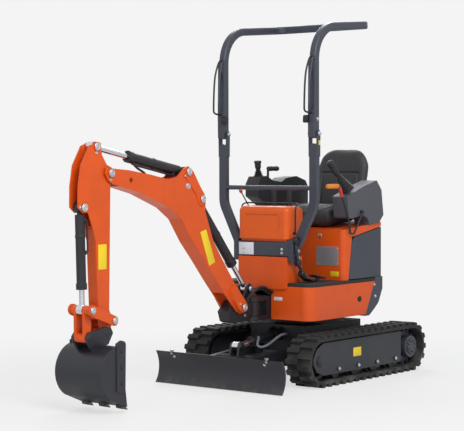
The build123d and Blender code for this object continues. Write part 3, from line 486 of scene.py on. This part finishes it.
def applied(piece):
    graph = bpy.context.evaluated_depsgraph_get()
    mesh = bpy.data.meshes.new_from_object(piece.evaluated_get(graph))
    piece.modifiers.clear()
    piece.data = mesh


def swell(piece, settings):
    remesh = piece.modifiers.new("remesh", "REMESH")
    remesh.mode = "VOXEL"
    remesh.voxel_size = settings["voxel"]
    applied(piece)
    start = [vertex.co.copy() for vertex in piece.data.vertices]
    cloth = piece.modifiers.new("cloth", "CLOTH")
    cloth.settings.use_pressure = True
    cloth.settings.uniform_pressure_force = settings["pressure"]
    cloth.settings.effector_weights.gravity = 0.0
    cloth.point_cache.frame_end = settings["frames"]
    for step in range(1, settings["frames"] + 1):
        scene.frame_set(step)
    graph = bpy.context.evaluated_depsgraph_get()
    moved = [vertex.co.copy() for vertex in piece.evaluated_get(graph).data.vertices]
    piece.modifiers.clear()
    scene.frame_set(1)
    for vertex, before, after in zip(piece.data.vertices, start, moved):
        shift = after - before
        vertex.co = before + shift * min(1.0, settings["most"] / max(shift.length, 1e-9))
    form = bmesh.new()
    form.from_mesh(piece.data)
    for turn in range(settings["smooth"]):
        bmesh.ops.smooth_vert(form, verts=form.verts, factor=0.5, use_axis_x=True, use_axis_y=True, use_axis_z=True)
    form.to_mesh(piece.data)
    form.free()
    piece.modifiers.new("finer", "SUBSURF").levels = 1
    applied(piece)


def pressSeams(piece, distanceTo):
    for vertex in piece.data.vertices:
        push = padding["seamDepth"] * math.exp(-(distanceTo(vertex.co) / padding["seamWidth"]) ** 2) / 1000
        vertex.co -= vertex.normal * push


def cushionSeam(co):
    x, y, z = co.x * 1000 - slewX, co.y * 1000, co.z * 1000
    if z < cushionShape["seamLow"]:
        return noSeam
    inner = cushionShape["half"] - cushionShape["seamInset"]
    ahead = cushionShape["front"] - cushionShape["seamInset"]
    side = abs(abs(y) - inner) if x < ahead else noSeam
    nose = abs(x - ahead) if abs(y) < inner + 1 else noSeam
    return min(side, nose)


def backSeam(co):
    x, y, z = co.x * 1000 - slewX, co.y * 1000, co.z * 1000
    if x < (between(z, backShape["front"]) + between(z, backShape["rear"])) / 2:
        return noSeam
    inner = backShape["half"] - backShape["seamInset"]
    side = abs(abs(y) - inner) if z < backShape["seamHeight"] else noSeam
    across = abs(z - backShape["seamHeight"]) if abs(y) < inner + 1 else noSeam
    return min(side, across)


# Keeps the cushion's underside on the deck.
def settle(piece, low):
    for vertex in piece.data.vertices:
        deck = between(vertex.co.x * 1000 - slewX, low)
        vertex.co.z = max(vertex.co.z, (deck + padding["lift"]) / 1000)


def edgeRoute(piece, places, direction):
    tree = BVHTree.FromObject(piece, bpy.context.evaluated_depsgraph_get())
    hits = [tree.ray_cast(place - direction * 0.4, direction)[0] for place in places]
    return [hit for hit in hits if hit]


seatCushion = addPiece("seatCushion", cushionForm(cushionShape), "upper", [seatVinyl], 60.0)
swell(seatCushion, padding)
settle(seatCushion, cushionShape["low"])
pressSeams(seatCushion, cushionSeam)
seatBack = addPiece("seatBack", backForm(backShape), "upper", [seatVinyl], 60.0)
swell(seatBack, padding)
pressSeams(seatBack, backSeam)
for pad, node in ((seatCushion, "seat_cushion"), (seatBack, "seat_back")):
    pad.data.shade_smooth()
    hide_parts(node)

pipingLine = []
pipingRun = cushionShape["front"] - cushionShape["back"] - pipingShape["backInset"] - pipingShape["frontInset"]
for step in range(pipingShape["steps"] + 1):
    turn = math.pi * step / pipingShape["steps"]
    c, s = math.cos(turn), math.sin(turn)
    x = cushionShape["back"] + pipingShape["backInset"] + pipingRun * abs(s) ** pipingShape["bend"]
    y = (cushionShape["half"] - pipingShape["sideInset"]) * math.copysign(abs(c) ** pipingShape["bend"], c)
    pipingLine.append(at(x, y, pipingShape["height"]))
piping = bmesh.new()
tube(piping, edgeRoute(seatCushion, pipingLine, -upward), pipingShape["radius"])
addPiece("seatPiping", piping, "upper", [seatVinyl])
print("stage: seat")

# Control sticks with pleated boots, and the blade lever. Grips are shares of the stick's length, then radius.
stickShape = {"left": ((0, 317, 1212), (132, 262, 1402)), "right": ((132, -305, 1292), (142, -305, 1408)),
              "leftBoot": (50.0, 21.0, 7), "rightBoot": (36.0, 18.0, 4), "bootShare": 0.46, "neckShare": 0.5,
              "neckRadius": 9.0, "pleatDip": 4.5, "pleatCrest": 2.0, "pleatFall": 0.2,
              "grip": [(0.44, 9.0), (0.5, 15.0), (0.56, 19.0), (0.66, 21.0), (0.74, 20.0), (0.82, 22.0),
                       (0.9, 25.0), (0.96, 24.0), (0.99, 17.0), (1.0, 0.0)]}
bladeLever = {"rod": [(25, -307, 1262), (25, -307, 1330), (22, -307, 1350), (-10, -307, 1354), (-40, -307, 1353)],
              "rodRadius": 8.0, "knob": ((28, -307, 1352), (-92, -307, 1352)),
              "knobProfile": [(0, 0), (0, 9), (6, 15), (30, 17), (64, 15), (96, 17), (112, 15), (119, 9), (120, 0)],
              "boot": ((25, -307, 1268), (25, -307, 1300)),
              "bootProfile": [(0, 26), (5, 24), (9, 16), (14, 17), (18, 11), (24, 7)]}
sticks = bmesh.new()
for side in ("left", "right"):
    base, top = allAt(stickShape[side])
    length = (top - base).length * 1000
    wide, slim, pleats = stickShape[side + "Boot"]
    boot = [(0.0, wide)]
    for i in range(pleats):
        share = (i + 1) / pleats
        outer = wide + (slim - wide) * share
        rise = stickShape["bootShare"] * length * share
        dip = rise - stickShape["pleatFall"] * length / pleats
        boot += [(dip, outer - stickShape["pleatDip"]), (rise, outer + stickShape["pleatCrest"])]
    boot.append((stickShape["neckShare"] * length, stickShape["neckRadius"]))
    lathe(sticks, base, top, boot, 32, 1)
    lathe(sticks, base, top, [(share * length, radius) for share, radius in stickShape["grip"]], 28, 0)
tube(sticks, allAt(bladeLever["rod"]), bladeLever["rodRadius"], 2)
lathe(sticks, *allAt(bladeLever["knob"]), bladeLever["knobProfile"], 24, 0)
lathe(sticks, *allAt(bladeLever["boot"]), bladeLever["bootProfile"], 24, 1)
stickMaterials = [blackPlastic, hoseRubber, blackSteel]
controlSticks = addPiece("controlSticks", sticks, "upper", stickMaterials, 40.0)
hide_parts("joysticks")

# Lock lever: a ribbed orange sleeve on its grip and a red one on the bend
lockShape = {"tip": (324, 382, 1243), "bend": (188, 382, 1242), "lower": (160, 382, 1176), "radius": 14.0, "ribs": 8,
             "pitch": 13.0, "end": [(-3.0, 0.0), (-3.0, 9.0), (0.0, 13.0)], "bendRadius": 11.0, "bendStart": 0.86,
             "bendTurn": 0.2, "bendLead": 6.0}
tip, bend, lower = allAt(lockShape[key] for key in ("tip", "bend", "lower"))
length = (bend - tip).length * 1000
profile = list(lockShape["end"])
for i in range(lockShape["ribs"]):
    start = i * lockShape["pitch"]
    profile += [(start + 6, lockShape["radius"]), (start + 15, lockShape["radius"] + 1.5),
                (start + 17, lockShape["radius"] - 0.5)]
profile += [(length - 22, lockShape["radius"] + 1), (length - 18, 8.0)]
lockGrip = bmesh.new()
lathe(lockGrip, tip, bend, profile, 24, 0)
sleeve = [tip + (bend - tip) * lockShape["bendStart"], bend + forward * lockShape["bendLead"] / 1000,
          bend + (lower - bend) * lockShape["bendTurn"], lower]
tube(lockGrip, sleeve, lockShape["bendRadius"], 1)
addPiece("lockGrip", lockGrip, "upper", [orangeGrip, redGrip])

throttleShape = {"line": [(385, -190, 1107), (430, -190, 1160), (472, -190, 1208)], "radius": 4.0,
                 "knob": [(52, 5), (56, 9), (66, 11), (76, 9), (82, 0)]}
throttle = bmesh.new()
throttleLine = allAt(throttleShape["line"])
tube(throttle, throttleLine, throttleShape["radius"], 0)
lathe(throttle, throttleLine[1], throttleLine[2], throttleShape["knob"], 20, 1)
addPiece("throttleLever", throttle, "upper", [blackSteel, redGrip])

guardShape = {"route": [(440, -208, 930), (440, -208, 1080), (438, -208, 1122), (400, -208, 1134), (385, -180, 1134),
                        (385, 0, 1134), (385, 180, 1134), (395, 208, 1132), (420, 208, 1118), (425, 208, 1080),
                        (425, 208, 940)], "radius": 5.0, "footY": 200.0, "footRise": 6.0,
              "foot": [(-4, 12), (3, 12), (4, 8), (12, 7), (13, 0)]}
guard = bmesh.new()
tube(guard, allAt(guardShape["route"]), guardShape["radius"])
for x, y, z in (guardShape["route"][0], guardShape["route"][-1]):
    height = z + guardShape["footRise"]
    lathe(guard, at(x, math.copysign(guardShape["footY"], y), height), at(x, y, height), guardShape["foot"], 18)
addPiece("cowlGuard", guard, "upper", [blackSteel])

leverShape = {"x": 286.0, "y": 60.0, "low": 1106.0, "ribs": 7, "pitch": 12.0, "start": [(0, 15.6), (6, 17)],
              "end": [(104, 18), (114, 15), (119, 8), (120, 0)]}
leverCaps = bmesh.new()
for sign in (-1, 1):
    profile = list(leverShape["start"])
    for i in range(leverShape["ribs"]):
        start = i * leverShape["pitch"]
        profile += [(start + 10, 17.5), (start + 17, 17.5), (start + 19, 16.2)]
    profile += leverShape["end"]
    foot = at(leverShape["x"], sign * leverShape["y"], leverShape["low"])
    lathe(leverCaps, foot, foot + upward, profile, 24)
addPiece("leverCaps", leverCaps, "upper", [blackPlastic])
print("stage: controls")

# Pedals and floor ribs
pedalShape = {"x": (206.0, 308.0), "y": (222.0, 298.0), "low": 650.0, "high": 672.0, "thick": 8.0, "rounding": 10.0,
              "ribs": 6, "ribRadius": 3.0, "floor": 631.0, "stem": [(0, 24), (4, 24), (6, 12), (30, 11), (32, 0)]}
pedals = bmesh.new()
for sign in (-1, 1):
    x0, x1 = pedalShape["x"]
    y0, y1 = sorted(sign * y for y in pedalShape["y"])
    low, high, thick = pedalShape["low"], pedalShape["high"], pedalShape["thick"]
    corners = [at(x0, y0, low), at(x1, y0, high), at(x1, y1, high), at(x0, y1, low)]
    plate(pedals, corners, thick, pedalShape["rounding"], 0)
    for i in range(pedalShape["ribs"]):
        share = (i + 0.7) / pedalShape["ribs"]
        x, z = x0 + (x1 - x0) * share, low + (high - low) * share + thick
        rib = [at(x, y0 + thick, z), at(x, (y0 + y1) / 2, z), at(x, y1 - thick, z)]
        tube(pedals, rib, pedalShape["ribRadius"], 1)
    foot = at((x0 + x1) / 2, (y0 + y1) / 2, pedalShape["floor"])
    lathe(pedals, foot, foot + upward, pedalShape["stem"], 20, 0)
pedalPads = addPiece("pedalPads", pedals, "upper", [blackSteel, hoseRubber])
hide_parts("pedals")

matShape = {"back": 116.0, "front": 262.0, "half": 186.0, "pitch": 13.0, "radius": 4.0, "floor": 632.0}
ribs = bmesh.new()
for i in range(int((matShape["front"] - matShape["back"]) / matShape["pitch"])):
    x = matShape["back"] + (i + 0.5) * matShape["pitch"]
    line = [at(x, y, matShape["floor"]) for y in (-matShape["half"], 0, matShape["half"])]
    tube(ribs, line, matShape["radius"])
addPiece("floorRibs", ribs, "upper", [floorMat])

# Dark linkage with its pedal beside the roll bar's left foot, and a small rod below the left skirt
linkShape = {"rod": [(462, 240, 906), (472, 244, 860), (462, 246, 800), (436, 246, 740), (404, 250, 690),
                     (372, 256, 656)], "rodRadius": 11.0,
             "hubs": [((462, 232, 900), 26, 26), ((440, 232, 760), 22, 24), ((404, 236, 690), 20, 26)],
             "pedal": [(330, 226, 636), (404, 226, 664), (404, 292, 664), (330, 292, 636)], "pedalThick": 9.0,
             "rounding": 10.0, "ribs": (0.2, 0.4, 0.6, 0.8), "ribY": (234, 260, 284),
             "hook": [(92, 330, 404), (88, 340, 386), (44, 344, 376), (4, 345, 370), (-14, 345, 358),
                      (-18, 345, 334)], "thinRadius": 3.5}
linkage = bmesh.new()
tube(linkage, allAt(linkShape["rod"]), linkShape["rodRadius"])
for place, radius, reach in linkShape["hubs"]:
    hub = at(*place)
    profile = [(-10, radius), (reach - 3, radius), (reach, radius - 3), (reach, 9), (reach + 6, 8), (reach + 7, 0)]
    lathe(linkage, hub, hub + left, profile, 24)
plate(linkage, allAt(linkShape["pedal"]), linkShape["pedalThick"], linkShape["rounding"])
(x0, _, z0), (x1, _, z1) = linkShape["pedal"][:2]
for share in linkShape["ribs"]:
    x, z = x0 + (x1 - x0) * share, z0 + linkShape["pedalThick"] + (z1 - z0) * share
    tube(linkage, [at(x, y, z) for y in linkShape["ribY"]], linkShape["thinRadius"])
tube(linkage, allAt(linkShape["hook"]), linkShape["thinRadius"])
addPiece("footLinkage", linkage, "upper", [blackSteel])
print("stage: footwell")

# Pin caps and bolts on both sides of the front, one piece for each body: (x, z), half width, radius.
pinEnds = {
    "boom": [((1976, 1338), 62, 17), ((1168, 1176), 64, 17), ((1297, 1341), 64, 17), ((1295, 1256), 52, 14)],
    "arm": [((2073, 1486), 43, 17), ((2178, 1149), 43, 17), ((1979, 509), 84, 13)],
    "guide_links": [((2160, 579), 84, 15)],
    "swing_bracket": [((788, 497), 86, 17), ((674, 602), 46, 16)]}
smallBolts = {
    "boom": [((1975, 1300), 52, 6), ((826, 520), 78, 5), ((1330, 1318), 58, 5)],
    "arm": [((2073, 1452), 35, 6), ((2208, 1151), 35, 6), ((1998, 540), 35, 5)],
    "swing_bracket": [((730, 440), 40, 7)]}
for body, pins in pinEnds.items():
    fittings = bmesh.new()
    for sign in (-1, 1):
        for (x, z), y, radius in pins:
            pinCap(fittings, at(x, sign * y, z), left * sign, radius)
        for (x, z), y, radius in smallBolts.get(body, []):
            hexBolt(fittings, at(x, sign * y, z), left * sign, radius)
    addPiece(body + "Fittings", fittings, body, [zincBolt])

# Roll bar: hinge and foot bolts on the posts, and a pair through the folding hoop
barShape = {"x": 430.0, "hingeZ": 1575.0, "outer": 397.0, "inner": 321.0, "hingeRadius": 10.0, "footY": 233.0,
            "foot": [(428, 792), (456, 812), (428, 834), (456, 876)], "hoopX": 432.0, "hoopZ": 1665.0,
            "hoopSides": [(384, 1), (334, -1)], "radius": 8.0}
barBolts, hoopBolts = bmesh.new(), bmesh.new()
for sign in (-1, 1):
    for y, way in ((barShape["outer"], 1), (barShape["inner"], -1)):
        place = at(barShape["x"], sign * y, barShape["hingeZ"])
        hexBolt(barBolts, place, left * sign * way, barShape["hingeRadius"])
    for x, z in barShape["foot"]:
        hexBolt(barBolts, at(x, sign * barShape["footY"], z), left * sign, barShape["radius"])
    for y, way in barShape["hoopSides"]:
        place = at(barShape["hoopX"], sign * y, barShape["hoopZ"])
        hexBolt(hoopBolts, place, left * sign * way, barShape["radius"])
addPiece("barBolts", barBolts, "upper", [zincBolt])
addPiece("hoopBolts", hoopBolts, "roll_bar", [zincBolt])

# Grab handles on the hoop's posts and the brackets below them
handleShape = {"route": [(425, 2018), (440, 2046), (462, 2058), (486, 2044), (512, 1990), (528, 1940), (537, 1850),
                         (541, 1745), (540, 1716), (516, 1706), (450, 1700)], "y": 359.0, "radius": 6.0,
               "bracket": [(450, 1692), (450, 1642), (487, 1642), (482, 1692)], "thick": 34.0, "rounding": 13.0}
handles = bmesh.new()
for sign in (-1, 1):
    tube(handles, [at(x, sign * handleShape["y"], z) for x, z in handleShape["route"]], handleShape["radius"])
    y = sign * (handleShape["y"] - handleShape["thick"] / 2)
    bracket = [at(x, y, z) for x, z in handleShape["bracket"][::sign]]
    plate(handles, bracket, handleShape["thick"], handleShape["rounding"])
addPiece("grabHandles", handles, "roll_bar", [blackSteel])

# Running gear: roller bolts, a ring of bolts on the drive cover and a cap on the idler
gearShape = {"axle": 524.0, "height": 162.0, "rollerZ": 100.3, "rollers": (-0.63, -0.21, 0.21, 0.63),
             "rollerY": 480.0, "rollerBolt": 8.0, "ring": 37.0, "ringBolts": 8, "ringY": 482.0, "ringBolt": 5.0,
             "idlerX": 534.0, "idlerY": 474.0, "idlerCap": [(-2, 34), (3, 34), (5, 30), (5, 20), (8, 18), (9, 0)]}
gearBolts = bmesh.new()
for sign in (-1, 1):
    for share in gearShape["rollers"]:
        place = at(gearShape["axle"] * share, sign * gearShape["rollerY"], gearShape["rollerZ"])
        hexBolt(gearBolts, place, left * sign, gearShape["rollerBolt"])
    for i in range(gearShape["ringBolts"]):
        turn = 2 * math.pi * (i + 0.5) / gearShape["ringBolts"]
        x = -gearShape["axle"] + gearShape["ring"] * math.cos(turn)
        z = gearShape["height"] + gearShape["ring"] * math.sin(turn)
        hexBolt(gearBolts, at(x, sign * gearShape["ringY"], z), left * sign, gearShape["ringBolt"], 1)
    idler = at(gearShape["idlerX"], sign * gearShape["idlerY"], gearShape["height"])
    lathe(gearBolts, idler, idler + left * sign, gearShape["idlerCap"], 28, 1)
addPiece("gearBolts", gearBolts, "undercarriage", [zincBolt, blackSteel])

bladeShape = {"pin": (950, 372, 190), "pinProfile": [(0, 9), (20, 9), (24, 14), (28, 14), (30, 10), (30, 0)],
              "bolt": (946, 354, 178), "boltRadius": 7.0}
bladePins = bmesh.new()
for sign in (-1, 1):
    x, y, z = bladeShape["pin"]
    pinFoot = at(x, sign * y, z)
    lathe(bladePins, pinFoot, pinFoot + upward, bladeShape["pinProfile"], 16)
    x, y, z = bladeShape["bolt"]
    hexBolt(bladePins, at(x, sign * y, z), forward, bladeShape["boltRadius"])
addPiece("bladePins", bladePins, "blade", [zincBolt])

bucketSide = {"y": 181.0, "bolts": [(2030, 170), (2032, 260), (2034, 350)], "radius": 8.0}
bucketBolts = bmesh.new()
for sign in (-1, 1):
    for x, z in bucketSide["bolts"]:
        hexBolt(bucketBolts, at(x, sign * bucketSide["y"], z), left * sign, bucketSide["radius"])
addPiece("bucketBolts", bucketBolts, "bucket", [bucketPaint])

# Body: bolts and a rubber plug on the sides, bolts on the cross band, plate screws and a cap on the seat base
bodyShape = {"sideY": 372.0, "sideBolts": [((-246, 512), 7.0), ((-236, 590), 6.0)], "plug": (-60, 506),
             "plugProfile": [(-8, 15), (-2, 17), (1.5, 20), (2.5, 18), (1, 12), (4, 9), (5, 0)],
             "bandX": 493.0, "bandY": 150.0, "bandZ": (846, 822), "bandRadius": 6.0, "screwX": 101.5,
             "screws": [(148, 838), (306, 838), (148, 738), (306, 738)], "screwRadius": 3.5, "cap": (100, 171, 919),
             "capProfile": [(-2, 15), (3, 15), (5, 12), (5, 8), (8, 7), (9, 0)]}
bodyBolts = bmesh.new()
for sign in (-1, 1):
    for (x, z), radius in bodyShape["sideBolts"]:
        hexBolt(bodyBolts, at(x, sign * bodyShape["sideY"], z), left * sign, radius)
    x, z = bodyShape["plug"]
    plug = at(x, sign * bodyShape["sideY"], z)
    lathe(bodyBolts, plug, plug + left * sign, bodyShape["plugProfile"], 24, 1)
    for z in bodyShape["bandZ"]:
        hexBolt(bodyBolts, at(bodyShape["bandX"], sign * bodyShape["bandY"], z), forward, bodyShape["bandRadius"])
for y, z in bodyShape["screws"]:
    hexBolt(bodyBolts, at(bodyShape["screwX"], y, z), forward, bodyShape["screwRadius"])
cap = at(*bodyShape["cap"])
lathe(bodyBolts, cap, cap + forward, bodyShape["capProfile"], 24)
addPiece("bodyBolts", bodyBolts, "upper", [zincBolt, hoseRubber])
print("stage: fittings")

# Blank colour patches on both sides: slot, half width and corners (x, z).
patchShape = {"thick": 0.6, "rounding": 4.0}
patchSets = {
    "boom": ("orange_paint", 52, [(1184, 978), (1100, 770), (1042, 791), (1128, 992)]),
    "arm": ("orange_paint", 35, [(2064, 940), (2064, 800), (1996, 800), (1996, 940)]),
    "undercarriage": ("dark_grey_paint", 474, [(165, 216), (165, 160), (75, 160), (75, 216)])}
for body, (slot, y, corners) in patchSets.items():
    patches = bmesh.new()
    for sign in (1, -1):
        patch = [at(x, sign * y, z) for x, z in corners[::sign]]
        plate(patches, patch, patchShape["thick"], patchShape["rounding"])
    addPiece(body + "Patch", patches, body, [yellowFilm])

# Blank plates facing forward: x, y range, z range, thickness, corner, material. Reflectors sit on the posts.
plateSets = [(100, (142, 314), (726, 850), 1.4, 5.0, 0), (100, (252, 318), (658, 690), 0.6, 3.0, 1),
             (493, (-190, -72), (806, 884), 0.6, 3.0, 2), (487, (84, 150), (521, 543), 0.6, 3.0, 2)]
reflector = {"y": 392.0, "corners": [(414, 1532), (432, 1532), (432, 1502), (414, 1502)]}
bodyPlates = bmesh.new()
for x, (y0, y1), (z0, z1), thick, rounding, material in plateSets:
    corners = [at(x, y0, z1), at(x, y0, z0), at(x, y1, z0), at(x, y1, z1)]
    plate(bodyPlates, corners, thick, rounding, material)
for sign in (-1, 1):
    film = [at(x, sign * reflector["y"], z) for x, z in reflector["corners"][::sign]]
    plate(bodyPlates, film, patchShape["thick"], patchShape["rounding"], 1)
addPiece("bodyPlates", bodyPlates, "upper", [silverPlate, yellowFilm, paleFilm])
print("stage: plates")

# Steel pipes along the cylinders: each starts and ends in a port on its barrel, with a strap half way.
pipeRuns = {
    "boom_barrel": {"from": (1168, 1176), "to": (674, 602), "above": 34.0, "side": 26.0, "run": (96.0, 500.0),
                    "barrel": 30.0},
    "arm_barrel": {"from": (1297, 1341), "to": (2073, 1486), "above": -38.0, "side": 14.0, "run": (90.0, 452.0),
                   "barrel": 31.0},
    "bucket_barrel": {"from": (2178, 1149), "to": (2160, 579), "above": -26.0, "side": 27.0, "run": (70.0, 250.0),
                      "barrel": 27.0}}
pipeShape = {"radius": 5.5, "sunk": 4.0, "reach": 1.05, "bend": 20.0, "strapWidth": 16.0,
             "port": [(0, 13), (8, 13), (9, 10), (14, 9.5), (15, 0)]}
for body, run in pipeRuns.items():
    pipe = bmesh.new()
    start, end = at(run["from"][0], 0, run["from"][1]), at(run["to"][0], 0, run["to"][1])
    line = (end - start).normalized()
    outward = (line.cross(left) * run["above"] + left * run["side"]) / 1000
    first, last = [start + line * distance / 1000 for distance in run["run"]]
    away = outward.normalized() * (run["barrel"] - pipeShape["sunk"]) / 1000
    reach, bend = outward * pipeShape["reach"], line * pipeShape["bend"] / 1000
    course = [first + away, first + reach, first + reach + bend, last + reach - bend, last + reach, last + away]
    tube(pipe, course, pipeShape["radius"])
    for port in (first, last):
        lathe(pipe, port + away, port + outward * 2, pipeShape["port"], 6)
    wide, width = run["barrel"], pipeShape["strapWidth"]
    strap = [(0, wide - 1), (0, wide + 1.2), (2, wide + 2.2), (width - 2, wide + 2.2), (width, wide + 1.2),
             (width, wide - 1)]
    strapStart = (first + last) / 2 - line * width / 2000
    lathe(pipe, strapStart, strapStart + line, strap, 32, 0, True)
    addPiece(body + "Pipe", pipe, body, [blackSteel])

# Hoses at the swing post and the blade, held by no body; the arm's rides its barrel.
bundleShape = {"radius": 8.5, "offsets": (62.0, 76.0), "step": 14.0}
for sign, name in ((1, "swingHosesLeft"), (-1, "swingHosesRight")):
    hoses = bmesh.new()
    for i, offset in enumerate(bundleShape["offsets"]):
        rise = bundleShape["step"] * i
        course = [(488, offset, 560), (520, offset, 566), (560, offset + 3, 590), (610, offset + 4, 602),
                  (660, offset, 590), (694, offset - 8, 562), (712, 52 + 4 * i, 536), (722, 38, 520)]
        tube(hoses, [at(x, sign * y, z + rise) for x, y, z in course], bundleShape["radius"])
    bundle = addPiece(name, hoses, None, [hoseRubber])
    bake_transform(bundle)

armHoseShape = {"route": [(1750, 20, 1394), (1740, 22, 1378), (1716, 24, 1362), (1690, 26, 1350), (1660, 26, 1336),
                          (1640, 24, 1318)], "radius": 7.0}
armHose = bmesh.new()
tube(armHose, allAt(armHoseShape["route"]), armHoseShape["radius"])
addPiece("armHose", armHose, "arm_barrel", [hoseRubber])

bladeHoseShape = {"route": [(392, 112, 300), (440, 120, 304), (490, 118, 290), (540, 112, 264), (590, 104, 242),
                            (628, 92, 234), (642, 76, 240), (632, 60, 256), (600, 46, 274), (572, 26, 290)],
                  "radius": 8.5}
bladeHose = bmesh.new()
tube(bladeHose, allAt(bladeHoseShape["route"]), bladeHoseShape["radius"])
bladeHosePiece = addPiece("bladeHose", bladeHose, None, [greyHose])
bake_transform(bladeHosePiece)
print("stage: pipes and hoses")

# Weld beads round the plates on the boom's foot and crest
weldShape = {"y": 52.0, "radius": 3.0,
             "foot": [(888, 547), (838, 485), (800, 459), (767, 465), (750, 491), (752, 520), (776, 549), (858, 637),
                      (906, 607), (888, 547)],
             "crest": [(1166, 1132), (1137, 1162), (1136, 1180), (1153, 1210), (1186, 1248)]}
welds = bmesh.new()
for sign in (-1, 1):
    for line in (weldShape["foot"], weldShape["crest"]):
        tube(welds, [at(x, sign * weldShape["y"], z) for x, z in line], weldShape["radius"], order=2)
addPiece("boomWelds", welds, "boom", [orangePaint])
print("stage: welds")

# Floor, light and camera
studio = {"backdrop": "#F4F4F4", "floor": "#F2F2F2", "soft": "#F0F3F8", "softStrength": 0.42, "floorReach": 60.0,
          "fade": (1.4, 3.6), "glow": 0.7, "aim": (0.0, 0.0, 0.9),
          "lamps": [("keyLight", (3.2, 5.2, 5.6), 360.0, 4.0), ("frontLight", (7.0, 1.0, 3.0), 70.0, 4.0),
                    ("rimLight", (-4.5, -3.5, 5.0), 150.0, 3.0)]}
world = bpy.data.worlds.new("studio")
scene.world = world
world.use_nodes = True
sky = world.node_tree
sky.nodes.clear()
path = sky.nodes.new("ShaderNodeLightPath")
seen = mathNode(sky, "ADD", path.outputs["Is Camera Ray"], path.outputs["Is Glossy Ray"], True)
seen = mathNode(sky, "ADD", seen, path.outputs["Is Transmission Ray"], True)
backdrop = sky.nodes.new("ShaderNodeBackground")
backdrop.inputs["Color"].default_value = linear(studio["backdrop"])
soft = sky.nodes.new("ShaderNodeBackground")
soft.inputs["Color"].default_value = linear(studio["soft"])
soft.inputs["Strength"].default_value = studio["softStrength"]
blendSky = sky.nodes.new("ShaderNodeMixShader")
sky.links.new(seen, blendSky.inputs[0])
sky.links.new(soft.outputs[0], blendSky.inputs[1])
sky.links.new(backdrop.outputs[0], blendSky.inputs[2])
skyOut = sky.nodes.new("ShaderNodeOutputWorld")
sky.links.new(blendSky.outputs[0], skyOut.inputs["Surface"])

floorMaterial = bpy.data.materials.new("paleFloor")
floorMaterial.use_nodes = True
floorTree = floorMaterial.node_tree
floorShader = floorTree.nodes["Principled BSDF"]
floorShader.inputs["Base Color"].default_value = linear(studio["floor"])
floorShader.inputs["Roughness"].default_value = 0.8
floorShader.inputs["Specular IOR Level"].default_value = 0.1
floorPath = floorTree.nodes.new("ShaderNodeLightPath")
glow = floorTree.nodes.new("ShaderNodeEmission")
glow.inputs["Color"].default_value = linear(studio["backdrop"])
floorMix = floorTree.nodes.new("ShaderNodeMixShader")
spot = floorTree.nodes.new("ShaderNodeTexCoord")
spread = floorTree.nodes.new("ShaderNodeVectorMath")
spread.operation = "LENGTH"
floorTree.links.new(spot.outputs["Object"], spread.inputs[0])
fade = ramp(floorTree, spread.outputs["Value"], *studio["fade"], studio["glow"], 1.0)  # no horizon far out
floorTree.links.new(mathNode(floorTree, "MULTIPLY", floorPath.outputs["Is Camera Ray"], fade), floorMix.inputs[0])
floorTree.links.new(floorShader.outputs[0], floorMix.inputs[1])
floorTree.links.new(glow.outputs[0], floorMix.inputs[2])
floorTree.links.new(floorMix.outputs[0], floorTree.nodes["Material Output"].inputs["Surface"])
floorMesh = bpy.data.meshes.new("floorPlane")
reach = studio["floorReach"]
floorCorners = [(-reach, -reach, 0), (reach, -reach, 0), (reach, reach, 0), (-reach, reach, 0)]
floorMesh.from_pydata(floorCorners, [], [(0, 1, 2, 3)])
floorMesh.materials.append(floorMaterial)
floorPlane = bpy.data.objects.new("studioFloor", floorMesh)
scene.collection.objects.link(floorPlane)

for name, place, power, size in studio["lamps"]:
    lamp = bpy.data.lights.new(name, "AREA")
    lamp.energy = power
    lamp.size = size
    holder = bpy.data.objects.new(name, lamp)
    holder.location = place
    holder.rotation_mode = "QUATERNION"
    holder.rotation_quaternion = (Vector(studio["aim"]) - Vector(place)).to_track_quat("-Z", "Y")
    scene.collection.objects.link(holder)

view = {"place": (7.8446, 6.1083, 1.4102), "yaw": 0.664, "pitch": 0.0347, "roll": 0.002, "lens": 124.0}
ahead = Vector((-math.cos(view["pitch"]) * math.cos(view["yaw"]),
                -math.cos(view["pitch"]) * math.sin(view["yaw"]), -math.sin(view["pitch"])))
right = ahead.cross(upward).normalized()
above = right.cross(ahead)
turn = Matrix.Rotation(view["roll"], 3, ahead)
right, above = turn @ right, turn @ above
camera = bpy.data.cameras.new("photoCamera")
camera.lens = view["lens"]
camera.sensor_width = 36.0
cameraHolder = bpy.data.objects.new("photoCamera", camera)
facing = Matrix((right, above, -ahead)).transposed().to_4x4()
cameraHolder.matrix_world = Matrix.Translation(view["place"]) @ facing
scene.collection.objects.link(cameraHolder)
scene.camera = cameraHolder
print("stage: studio")
